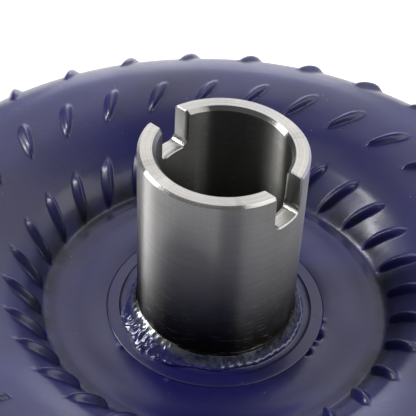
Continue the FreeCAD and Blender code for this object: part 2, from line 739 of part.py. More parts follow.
TURBINE_INSIDE_CURVE = "dim.turbine_crest_curve - dim.turbine_wall"
TURBINE_CREASE_INSIDE = ("dim.turbine_crest_height + dim.turbine_wall + (%s) - sqrt((%s) ^ 2"
                         " - dim.turbine_crest_span ^ 2)"
                         % (TURBINE_INSIDE_CURVE, TURBINE_INSIDE_CURVE))
TURBINE_CREASE = ("dim.turbine_crest_height + dim.turbine_crest_curve - sqrt(dim.turbine_crest_curve ^ 2"
                  " - dim.turbine_crest_span ^ 2)")
TURBINE_RIM = "dim.torus_height - dim.circuit_gap"


def turbine_shell():
    """The bowl that faces the impeller, riveted to the turbine hub by its flat middle."""
    body = new_body("turbine_shell")
    inner = "own.turbine_boss_radius + dim.seat"
    flat = "dim.turbine_flat_height"
    revolve(body, "turbine_pressing", [
        (inner, at(flat + " - dim.turbine_wall")),
        ("own.turbine_flat_radius", at(flat + " - dim.turbine_wall")),
        ("own.turbine_crease_radius", at(TURBINE_CREASE), "dim.turbine_crest_curve", 1),
        ("own.turbine_crest_radius", at("dim.turbine_crest_height"), "dim.turbine_rim_curve", 1),
        ("own.turbine_radius", at("own.turbine_rim_height")),
        ("own.turbine_radius", at(TURBINE_RIM)),
        ("own.turbine_inside_radius", at(TURBINE_RIM)),
        ("own.turbine_inside_radius", at("own.turbine_rim_height"),
         "dim.turbine_rim_curve - dim.turbine_wall", -1),
        ("own.turbine_crest_radius", at("dim.turbine_crest_height + dim.turbine_wall"),
         TURBINE_INSIDE_CURVE, -1),
        ("own.turbine_crease_radius", at(TURBINE_CREASE_INSIDE)),
        ("own.turbine_flat_radius", at(flat)),
        (inner, at(flat)),
    ])
    sketch = new_sketch(body, "rivet_hole_outline", "XY_Plane", at(flat + " + dim.seat"))
    circle(sketch, "own.rivet_circle", "0", "dim.rivet_radius + dim.seat")
    hole = cut_down(body, "rivet_hole", sketch, "dim.turbine_wall + 2 * dim.seat")
    around(body, [hole], "dim.rivet_count")
    return keep(body, "turbine_shell")


def turbine_vanes():
    """The turbine's vanes, tabbed into its shell and core ring."""
    # Their inner edge stands clear below the stator's hub and ring.
    edge = "dim.turbine_flat_height + dim.turbine_wall * 3"
    inlet = "(own.turbine_flat_radius + own.turbine_crease_radius) / 2"
    on_slope = "(dim.turbine_flat_height + (%s)) / 2" % TURBINE_CREASE_INSIDE
    curve = "dim.turbine_core_curve"
    passage = new_body("turbine_passage")
    revolve(passage, "turbine_passage_turned", [
        (inlet, at(edge)),
        (inlet, at(on_slope)),
        ("own.turbine_crease_radius", at(TURBINE_CREASE_INSIDE), TURBINE_INSIDE_CURVE, 1),
        ("own.turbine_crest_radius", at("dim.turbine_crest_height + dim.turbine_wall"),
         "dim.turbine_rim_curve - dim.turbine_wall", 1),
        ("own.turbine_inside_radius", at("own.turbine_rim_height")),
        ("own.turbine_inside_radius", at(TURBINE_RIM)),
        ("own.core_radius + " + core_edge(curve, TURBINE_RIM), at(TURBINE_RIM), curve, -1),
        ("own.core_radius", at("dim.torus_height - " + curve), curve, -1),
        ("own.core_radius - " + core_edge(curve, edge), at(edge)),
    ])
    strips = vane_strips("turbine_strips", "dim.turbine_vanes", "own.turbine_flat_radius",
                         "own.turbine_radius", at("dim.turbine_crest_height"), at("dim.torus_height"), -1)
    return vanes_in_passage("turbine_vanes", strips, passage)


def spline_teeth(body, name, bore, teeth, top, length):
    """Cuts the grooves of an internal spline into a plain bore."""
    sketch = new_sketch(body, name + "_outline", "XY_Plane", top)
    half = "pi * (%s) / (%s) / 2" % (bore, teeth)
    start = "(%s) - dim.spline_depth" % bore
    end = "(%s) + dim.spline_depth" % bore
    floor = "%s * %s" % (half, SPLINE_TAPER)
    outline(sketch, [
        (start, "-" + half), (end, "-" + floor), (end, floor), (start, half)])
    groove = cut_down(body, name, sketch, length)
    around(body, [groove], teeth)


def turbine_hub():
    """The splined hub that drives the gearbox's input shaft."""
    body = new_body("turbine_hub")
    foot = "dim.cover_face + dim.cover_wall + dim.thrust_washer_wall + dim.side_play"
    flange_top = "dim.turbine_flat_height - dim.turbine_wall - dim.seat"
    boss_top = "dim.turbine_flat_height"
    tube_top = "(%s) - 2 * dim.side_play" % RACE_BOTTOM
    revolve(body, "turbine_hub_turned", [
        ("dim.turbine_spline_radius", at(foot)),
        ("own.turbine_hub_radius", at(foot)),
        ("own.turbine_hub_radius", at(flange_top + " - dim.turbine_flange_wall")),
        ("own.turbine_flange_radius", at(flange_top + " - dim.turbine_flange_wall")),
        ("own.turbine_flange_radius", at(flange_top)),
        ("own.turbine_boss_radius", at(flange_top)),
        ("own.turbine_boss_radius", at(boss_top)),
        ("own.turbine_hub_radius", at(boss_top)),
        ("own.turbine_hub_radius", at(tube_top)),
        ("dim.turbine_spline_radius", at(tube_top)),
    ])
    spline_teeth(body, "input_spline", "dim.turbine_spline_radius", "dim.turbine_spline_teeth",
                 at(tube_top + " + dim.seat"), "(%s) - (%s) + 2 * dim.seat" % (tube_top, foot))
    sketch = new_sketch(body, "hub_rivet_hole_outline", "XY_Plane", at(flange_top + " + dim.seat"))
    circle(sketch, "own.rivet_circle", "0", "dim.rivet_radius + dim.seat")
    hole = cut_down(body, "hub_rivet_hole", sketch, "dim.turbine_flange_wall + 2 * dim.seat")
    around(body, [hole], "dim.rivet_count")
    return keep(body, "turbine_hub")


def turbine_rivets():
    """Round-headed rivets through the turbine's shell and hub flange."""
    body = new_body("turbine_rivets")
    top = "dim.turbine_flat_height"
    bottom = "%s - dim.turbine_wall - dim.seat - dim.turbine_flange_wall" % top
    head = "dim.rivet_head_wall"
    rivet = []
    for name, low, high, radius in (
            ("rivet_foot", "%s - %s" % (bottom, head), bottom, "dim.rivet_head_radius"),
            ("rivet_shank", bottom, top, "dim.rivet_radius"),
            ("rivet_head", top, "%s + %s" % (top, head), "dim.rivet_head_radius")):
        sketch = new_sketch(body, name + "_outline", "XY_Plane", at(low))
        circle(sketch, "own.rivet_circle", "0", radius)
        rivet.append(extrude(body, name, sketch, "(%s) - (%s)" % (high, low)))
    around(body, rivet, "dim.rivet_count")
    return keep(body, "turbine_rivets")


# ---------------------------------------------------------------- stator and one-way clutch

# Heights of the stack between the hub flange and the turbine hub, from the gearbox side down.
REAR_RACE_TOP = "-dim.flange_wall"
REAR_NEEDLE_TOP = "(%s) - dim.bearing_race_wall - dim.seat" % REAR_RACE_TOP
REAR_NEEDLE_BOTTOM = "(%s) - 2 * dim.rear_needle_radius" % REAR_NEEDLE_TOP
STATOR_TOP_RACE = "(%s) - dim.seat" % REAR_NEEDLE_BOTTOM
REAR_CAP_TOP = "(%s) - dim.bearing_race_wall" % STATOR_TOP_RACE
REAR_CAP_BOTTOM = "(%s) - dim.cap_wall" % REAR_CAP_TOP
MIDDLE_RACE_BOTTOM = "dim.turbine_flat_height"
MIDDLE_NEEDLE_BOTTOM = "(%s) + dim.bearing_race_wall + dim.seat" % MIDDLE_RACE_BOTTOM
MIDDLE_NEEDLE_TOP = "(%s) + 2 * dim.middle_needle_radius" % MIDDLE_NEEDLE_BOTTOM
STATOR_LOW_RACE = "(%s) + dim.seat" % MIDDLE_NEEDLE_TOP
FRONT_CAP_BOTTOM = "(%s) + dim.bearing_race_wall" % STATOR_LOW_RACE
FRONT_CAP_TOP = "(%s) + dim.cap_wall" % FRONT_CAP_BOTTOM
REAR_SNAP_TOP = "(%s) + dim.snap_ring_wall" % REAR_CAP_TOP
FRONT_SNAP_BOTTOM = "(%s) - dim.snap_ring_wall" % FRONT_CAP_BOTTOM
STATOR_TOP = "(%s) + dim.snap_ring_wall" % REAR_SNAP_TOP
STATOR_BOTTOM = "(%s) - dim.snap_ring_wall / 2" % FRONT_SNAP_BOTTOM
RACE_BOTTOM = "(%s) + dim.side_play" % FRONT_CAP_BOTTOM
RACE_TOP = "(%s) + dim.side_play" % REAR_CAP_TOP


def stator_wheel():
    """The cast wheel whose vanes turn the returning oil: hub, vanes and outer ring in one piece."""
    body = new_body("stator_wheel")
    bore = "own.stator_bore_radius"
    groove = "own.stator_bore_radius + dim.snap_ring_bite + dim.seat"
    revolve(body, "stator_hub_turned", [
        (bore, at(STATOR_BOTTOM)),
        ("own.stator_hub_radius", at(STATOR_BOTTOM)),
        ("own.stator_hub_radius", at(STATOR_TOP)),
        (bore, at(STATOR_TOP)),
        (bore, at("(%s) + dim.seat" % REAR_SNAP_TOP)),
        (groove, at("(%s) + dim.seat" % REAR_SNAP_TOP)),
        (groove, at("(%s) - dim.seat" % REAR_CAP_TOP)),
        (bore, at("(%s) - dim.seat" % REAR_CAP_TOP)),
        (bore, at("(%s) + dim.seat" % FRONT_CAP_BOTTOM)),
        (groove, at("(%s) + dim.seat" % FRONT_CAP_BOTTOM)),
        (groove, at("(%s) - dim.seat" % FRONT_SNAP_BOTTOM)),
        (bore, at("(%s) - dim.seat" % FRONT_SNAP_BOTTOM)),
    ])
    ring_inside = "own.stator_ring_radius - dim.stator_ring_wall"
    root = "own.stator_hub_radius - dim.snap_ring_wall"
    low = "dim.torus_height - dim.stator_band / 2"
    high = "dim.torus_height + dim.stator_band / 2"
    # Crescent section: a flatter pressure face and a fuller suction face, nose up.
    lean = "dim.stator_vane_lean"
    sketch = new_sketch(body, "stator_vane_outline", "YZ_Plane", root)
    outline(sketch, [
        ("-" + lean, at("%s + dim.stator_ring_wall / 2" % low), "dim.stator_suction_curve", 1),
        (lean, at("%s - dim.stator_ring_wall / 2" % high), "dim.stator_pressure_curve", -1),
    ])
    vane = extrude(body, "stator_vane", sketch, "(%s) - (%s) + dim.snap_ring_wall" % (ring_inside, root))
    around(body, [vane], "dim.stator_vanes")
    revolve(body, "stator_ring", [
        (ring_inside, at(low)), ("own.stator_ring_radius", at(low)),
        ("own.stator_ring_radius", at(high)), (ring_inside, at(high))])
    return keep(body, "stator_wheel")


def clutch_cam():
    """The outer race of the one-way clutch, pressed into the stator, with a seat for each roller."""
    body = new_body("clutch_cam")
    outer = "own.stator_bore_radius - dim.seat"
    revolve(body, "cam_turned", [
        ("own.cam_inner_radius", at(FRONT_CAP_TOP)), (outer, at(FRONT_CAP_TOP)),
        (outer, at(REAR_CAP_BOTTOM)), ("own.cam_inner_radius", at(REAR_CAP_BOTTOM))])
    sketch = new_sketch(body, "roller_seat_outline", "XY_Plane", at("(%s) + dim.seat" % REAR_CAP_BOTTOM))
    circle(sketch, "dim.race_radius + dim.roller_radius + dim.running", "0",
           "dim.roller_radius + dim.running")
    seat = cut_down(body, "roller_seat", sketch,
                    "(%s) - (%s) + 2 * dim.seat" % (REAR_CAP_BOTTOM, FRONT_CAP_TOP))
    around(body, [seat], "dim.roller_count")
    return keep(body, "clutch_cam")


def clutch_pieces(label, draw, count):
    """Upright pieces that fill the height between the caps, less some play, repeated round the race."""
    body = new_body(label)
    play = "dim.running"
    sketch = new_sketch(body, label + "_outline", "XY_Plane", at("(%s) + %s" % (FRONT_CAP_TOP, play)))
    draw(sketch)
    piece = extrude(body, label + "_piece", sketch,
                    "(%s) - (%s) - 2 * %s" % (REAR_CAP_BOTTOM, FRONT_CAP_TOP, play))
    around(body, [piece], count)
    return keep(body, label)


def draw_roller(sketch):
    """A roller that just clears the inner race."""
    circle(sketch, "dim.race_radius + dim.roller_radius + dim.running", "0", "dim.roller_radius")


def draw_spring(sketch):
    """A bent leaf between two rollers, seen from its edge."""
    middle = "180 / dim.roller_count"
    inner = "dim.race_radius + dim.needle_end"
    outer = "own.cam_inner_radius - dim.snap_ring_wall / 2"
    ends = [("(%s) * cos(%s)" % (radius, middle), "(%s) * sin(%s)" % (radius, middle))
            for radius in (inner, outer)]
    outline(sketch, [
        ends[0] + ("own.spring_inner_curve", 1),
        ends[1] + ("own.spring_outer_curve", -1),
    ])


def clutch_inner_race():
    """The inner race, splined to the fixed tube that carries the stator."""
    body = new_body("clutch_inner_race")
    revolve(body, "race_turned", [
        ("dim.race_spline_radius", at(RACE_BOTTOM)), ("dim.race_radius", at(RACE_BOTTOM)),
        ("dim.race_radius", at(RACE_TOP)), ("dim.race_spline_radius", at(RACE_TOP))])
    spline_teeth(body, "stator_spline", "dim.race_spline_radius", "dim.race_spline_teeth",
                 at("(%s) + dim.seat" % RACE_TOP),
                 "(%s) - (%s) + 2 * dim.seat" % (RACE_TOP, RACE_BOTTOM))
    return keep(body, "clutch_inner_race")


def snap_ring(label, bottom, top):
    """A split ring that holds a cap in the stator's bore."""
    body = new_body(label)
    outer = "own.stator_bore_radius + dim.snap_ring_bite"
    revolve(body, label + "_turned", [
        ("own.snap_ring_inner", at(bottom)), (outer, at(bottom)),
        (outer, at(top)), ("own.snap_ring_inner", at(top))])
    sketch = new_sketch(body, label + "_gap_outline", "XY_Plane", at("(%s) + dim.seat" % top))
    gap = "dim.snap_ring_wall * 2"
    outline(sketch, [
        ("own.snap_ring_inner - dim.snap_ring_wall", "-" + gap),
        (outer + " + dim.snap_ring_wall", "-" + gap),
        (outer + " + dim.snap_ring_wall", gap), ("own.snap_ring_inner - dim.snap_ring_wall", gap)])
    cut_down(body, label + "_gap", sketch, "dim.snap_ring_wall + 2 * dim.seat")
    return keep(body, label)


# ---------------------------------------------------------------- needle bearings

def needle_layer(name, inner, outer, bottom, radius):
    """A bearing's cage with a window for each needle, and the needles lying in the windows."""
    middle = "(%s) + %s" % (bottom, radius)
    start = "%s + dim.needle_end" % inner
    length = "%s - %s - 2 * dim.needle_end" % (outer, inner)
    cage = new_body(name + "_cage")
    half = "%s * %s" % (radius, CAGE_SHARE)
    revolve(cage, name + "_cage_turned", [
        (inner, at("%s - %s" % (middle, half))), (outer, at("%s - %s" % (middle, half))),
        (outer, at("%s + %s" % (middle, half))), (inner, at("%s + %s" % (middle, half)))])
    sketch = new_sketch(cage, name + "_window_outline", "XY_Plane",
                        at("%s + %s + dim.seat" % (middle, half)))
    side = "%s + dim.seat" % radius
    end = "%s + %s + dim.seat" % (start, length)
    outline(sketch, [
        (start + " - dim.seat", "-(%s)" % side), (end, "-(%s)" % side),
        (end, side), (start + " - dim.seat", side)])
    window = cut_down(cage, name + "_window", sketch, "2 * (%s) + 2 * dim.seat" % half)
    around(cage, [window], "dim.needle_count")
    keep(cage, name + "_cage")
    needles = new_body(name + "_needles")
    round_end = new_sketch(needles, name + "_needle_outline", "YZ_Plane", start)
    circle(round_end, "0", at(middle), radius)
    needle = extrude(needles, name + "_needle", round_end, length)
    around(needles, [needle], "dim.needle_count")
    keep(needles, name + "_needles")


# ---------------------------------------------------------------- assembly

impeller_shell()
pump_hub()
hub_flange()
hub_weld()
fillet_bead("flange_weld", "own.flange_lip_radius", at("-dim.shell_wall"), "dim.small_weld", 1, -1)
impeller_vanes()
core_ring("impeller_core_ring", "dim.pump_core_curve", 1)
front_cover()
crank_pilot()
fillet_bead("pilot_weld", "own.pilot_foot_radius", at("dim.cover_face"), "dim.small_weld", 1, -1)
mounting_pads()
pad_welds()
seam_weld()
drain_plug()
balance_weight()
ring("front_thrust_washer", "dim.turbine_spline_radius + dim.cap_wall", "own.turbine_boss_radius",
     at("dim.cover_face + dim.cover_wall"),
     at("dim.cover_face + dim.cover_wall + dim.thrust_washer_wall"))
ring("rear_bearing_pump_race", "own.rear_bearing_inner", "own.rear_bearing_outer",
     at("(%s) - dim.bearing_race_wall" % REAR_RACE_TOP), at(REAR_RACE_TOP))
needle_layer("rear_bearing", "own.rear_bearing_inner", "own.rear_bearing_outer",
             REAR_NEEDLE_BOTTOM, "dim.rear_needle_radius")
ring("rear_bearing_stator_race", "own.rear_bearing_inner", "own.rear_bearing_outer",
     at(REAR_CAP_TOP), at(STATOR_TOP_RACE))
stator_wheel()
snap_ring("stator_rear_snap_ring", REAR_CAP_TOP, REAR_SNAP_TOP)
ring("stator_rear_cap", "dim.race_radius + dim.running", "own.stator_bore_radius - dim.seat",
     at(REAR_CAP_BOTTOM), at(REAR_CAP_TOP))
clutch_cam()
clutch_pieces("clutch_rollers", draw_roller, "dim.roller_count")
clutch_pieces("clutch_springs", draw_spring, "dim.roller_count")
clutch_inner_race()
ring("stator_front_cap", "dim.race_radius + dim.running", "own.stator_bore_radius - dim.seat",
     at(FRONT_CAP_BOTTOM), at(FRONT_CAP_TOP))
snap_ring("stator_front_snap_ring", FRONT_SNAP_BOTTOM, FRONT_CAP_BOTTOM)
ring("middle_bearing_stator_race", "own.middle_bearing_inner", "own.middle_bearing_outer",
     at(STATOR_LOW_RACE), at(FRONT_CAP_BOTTOM))
needle_layer("middle_bearing", "own.middle_bearing_inner", "own.middle_bearing_outer",
             MIDDLE_NEEDLE_BOTTOM, "dim.middle_needle_radius")
ring("middle_bearing_turbine_race", "own.middle_bearing_inner", "own.middle_bearing_outer",
     at(MIDDLE_RACE_BOTTOM), at("(%s) + dim.bearing_race_wall" % MIDDLE_RACE_BOTTOM))
turbine_hub()
turbine_rivets()
turbine_shell()
turbine_vanes()
core_ring("turbine_core_ring", "dim.turbine_core_curve", -1)

doc.recompute()
faults = [item.Name + " " + " ".join(item.State) for item in doc.Objects
          if "Invalid" in item.State or "Error" in item.State]
for item in subparts:
    if item.Shape.isNull() or not item.Shape.isValid():
        faults.append(item.Label + " has no valid shape")
if faults:
    raise RuntimeError("; ".join(faults))

os.makedirs("parts", exist_ok=True)
for item in subparts:
    item.Shape.exportStep("parts/%s.step" % item.Label)
print("wrote %d sub-parts" % len(subparts))
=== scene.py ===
import math

import bpy
import numpy as np
from mathutils import Matrix, Vector


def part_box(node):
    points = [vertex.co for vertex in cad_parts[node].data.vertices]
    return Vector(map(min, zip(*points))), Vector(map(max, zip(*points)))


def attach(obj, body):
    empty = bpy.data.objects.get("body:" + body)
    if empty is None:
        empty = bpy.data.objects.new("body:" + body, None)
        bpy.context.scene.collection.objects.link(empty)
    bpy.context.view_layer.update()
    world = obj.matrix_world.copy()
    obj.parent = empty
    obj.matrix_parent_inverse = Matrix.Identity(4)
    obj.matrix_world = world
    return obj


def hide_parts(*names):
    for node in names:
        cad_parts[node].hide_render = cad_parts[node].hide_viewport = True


# Looks of a torque converter: its welded steel housing in indigo enamel, with the bare pump hub on top.
# Azimuths are in degrees about Z from +X, and sizes are in millimetres until a mesh is made.

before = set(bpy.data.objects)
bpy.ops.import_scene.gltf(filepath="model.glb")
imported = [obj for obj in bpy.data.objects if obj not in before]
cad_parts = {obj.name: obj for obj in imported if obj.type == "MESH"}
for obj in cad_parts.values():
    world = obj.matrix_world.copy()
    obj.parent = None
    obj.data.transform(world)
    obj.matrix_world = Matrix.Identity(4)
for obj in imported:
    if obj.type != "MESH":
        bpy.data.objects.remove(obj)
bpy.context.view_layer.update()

# ---------------------------------------------------------------- pump hub
# A steel tube, ground outside for the gearbox's seal, bored and faced on a lathe. Two drive notches
# are milled through its mouth. The heat of the weld has tinted its foot brown, and painted shade darkens
# the tube towards its foot.

MM = 0.001
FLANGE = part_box("hub_flange")[1].z / MM     # height of the ring that the hub is welded to
hub_radius = 23.81
hub_bore = 18.65
hub_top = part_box("pump_hub")[1].z / MM
hub_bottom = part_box("pump_hub")[0].z / MM
hub_foot = 24.21
hub_foot_top = FLANGE + 4.0
notch_half = 5.2
notch_depth = 12.1
notch_corner = 2.2
notch_edge = 0.3            # edge break along the notches
mouth_outer_chamfer = 0.75
mouth_inner_chamfer = 1.0
mouth_inner_fall = 1.2      # height of the inner chamfer
foot_step = 0.3             # the foot's upper edge is this much bevelled


def linear(code):
    """A colour from its sRGB hex code: each part is taken out of the sRGB curve."""
    parts = [int(code[start:start + 2], 16) / 255 for start in (1, 3, 5)]
    return tuple(((p + 0.055) / 1.055) ** 2.4 if p > 0.04045 else p / 12.92 for p in parts) + (1.0,)


def add_node(tree, kind, inputs=None, **settings):
    """Adds a shader node: settings are its own, and each input is given a value or a socket to join."""
    node = tree.nodes.new("ShaderNode" + kind)
    for name, setting in settings.items():
        setattr(node, name, setting)
    for key, given in (inputs or {}).items():
        if isinstance(given, bpy.types.NodeSocket):
            tree.links.new(given, node.inputs[key])
        else:
            node.inputs[key].default_value = given
    return node


def new_material(name):
    """A material with an empty node tree."""
    material = bpy.data.materials.new(name)
    material.use_nodes = True
    material.node_tree.nodes.clear()
    return material


def closed_grid(name, points, crease=35):
    """A closed surface over a grid of points in millimetres, rows by columns by 3, whose last row
    joins its first and whose last column joins its first. Its faces are turned over if the volume
    they enclose is negative. Edges sharper than the crease angle in degrees shade as edges."""
    rows, columns = points.shape[:2]
    row, column = np.meshgrid(np.arange(rows), np.arange(columns), indexing="ij")
    next_row = (row + 1) % rows
    next_column = (column + 1) % columns
    faces = np.stack([row * columns + column, row * columns + next_column,
                      next_row * columns + next_column, next_row * columns + column], axis=-1)
    faces = faces.reshape(-1, 4)
    corners = points.reshape(-1, 3)
    a, b, c, d = (corners[faces[:, k]] for k in range(4))
    if np.sum(a * np.cross(b, c)) + np.sum(a * np.cross(c, d)) < 0:
        faces = faces[:, ::-1]
    mesh = bpy.data.meshes.new(name)
    mesh.from_pydata((corners * MM).tolist(), [], faces.tolist())
    mesh.shade_smooth()
    mesh.set_sharp_from_angle(angle=math.radians(crease))
    piece = bpy.data.objects.new(name, mesh)
    bpy.context.scene.collection.objects.link(piece)
    return piece


def polar_points(radius, azimuth, height):
    """Points from arrays of radius, azimuth in degrees and height: x = radius times the cosine of
    the azimuth, y = radius times its sine."""
    radius, azimuth, height = np.broadcast_arrays(radius, azimuth, height)
    turn = np.radians(azimuth)
    return np.stack([radius * np.cos(turn), radius * np.sin(turn), height], axis=-1)


def hub_points():
    """The tube's section carried round the axis. The section's top follows the mouth: full height,
    or in a notch the notch's floor, which rises at its corners in a quarter circle. A column of the
    grid near a notch keeps one distance from the X axis at every radius, so the notch's walls are
    parallel. On the walls' edges the tube's sides stand off by a small edge break."""
    edge = notch_edge
    inner = notch_half - notch_corner
    bend = np.radians(np.linspace(0, 90, 8))
    floor = np.concatenate([np.linspace(-inner, inner, 9)[:-1], inner + notch_corner * np.sin(bend)])
    floor = np.concatenate([-floor[::-1], floor])
    floor = np.unique(np.round(floor, 4))
    past_corner = np.maximum(np.abs(floor) - inner, 0)
    rise = notch_corner - np.sqrt(np.maximum(notch_corner ** 2 - past_corner ** 2, 0))
    floor_drop = notch_depth - rise
    wall_lean = 0.02
    wall_y = np.array([notch_half + wall_lean, notch_half + wall_lean + edge])
    wall_drop = np.array([edge, 0.0])
    across = np.concatenate([-wall_y[::-1], floor, wall_y])
    drop = np.concatenate([wall_drop[::-1], floor_drop, wall_drop])
    # Shift of the tube's sides away from the notch at its walls.
    shift = np.zeros(len(across))
    shift[np.abs(across) >= notch_half - 0.001] = edge
    shift *= np.sign(across)
    notch_angle = np.degrees(np.arcsin(across / hub_radius))
    free = np.linspace(notch_angle[-1], 180 - notch_angle[-1], 92)[1:-1]
    angle = np.concatenate([notch_angle, free, notch_angle + 180, free + 180])
    drop = np.concatenate([drop, 0 * free, drop, 0 * free])
    shift = np.concatenate([shift, 0 * free, shift, 0 * free])
    top = hub_top - drop
    cut = drop > edge + 0.01
    # Rows of the section: radius, height, and whether the row lies on one of the tube's sides.
    outer_edge = np.where(cut, edge, mouth_outer_chamfer)
    inner_edge = np.where(cut, edge, mouth_inner_chamfer)
    inner_fall = np.where(cut, edge, mouth_inner_fall)
    side_bottom = hub_foot_top + 0.2
    rows = []
    for height in (hub_bottom, FLANGE + 2.0, hub_foot_top - foot_step):
        rows.append((hub_foot + 0 * top, height + 0 * top, 1.0))
    rows.append((hub_foot - foot_step + 0 * top, hub_foot_top + 0 * top, 1.0))
    for share in np.linspace(0, 1, 13):
        rows.append((hub_radius + 0 * top, side_bottom + share * (top - outer_edge - side_bottom), 1.0))
    face_outer = hub_radius - outer_edge
    face_inner = hub_bore + inner_edge
    for share in (0.0, 0.5, 1.0):
        rows.append((face_outer + share * (face_inner - face_outer), top, 0.0))
    bore_top = top - inner_fall
    for share in np.linspace(0, 1, 12):
        rows.append((hub_bore + 0 * top, bore_top + share * (hub_bottom - bore_top), 1.0))
    radius = np.array([row[0] for row in rows])
    height = np.array([row[1] for row in rows])
    side = np.array([row[2] for row in rows])[:, None]
    # Distance from the X axis at the tube's outside. It is kept at other radii near a notch, fully
    # within 20 degrees of the X axis and not at all past 50 degrees.
    folded = (angle + 90) % 180 - 90
    away = hub_radius * np.sin(np.radians(folded)) + side * shift
    kept = np.degrees(np.arcsin(np.clip(away / radius, -1, 1)))
    near = np.clip((50 - np.abs(folded)) / 30, 0, 1)
    near = near * near * (3 - 2 * near)
    azimuth = angle + near * (kept - folded)
    return polar_points(radius, azimuth, height)


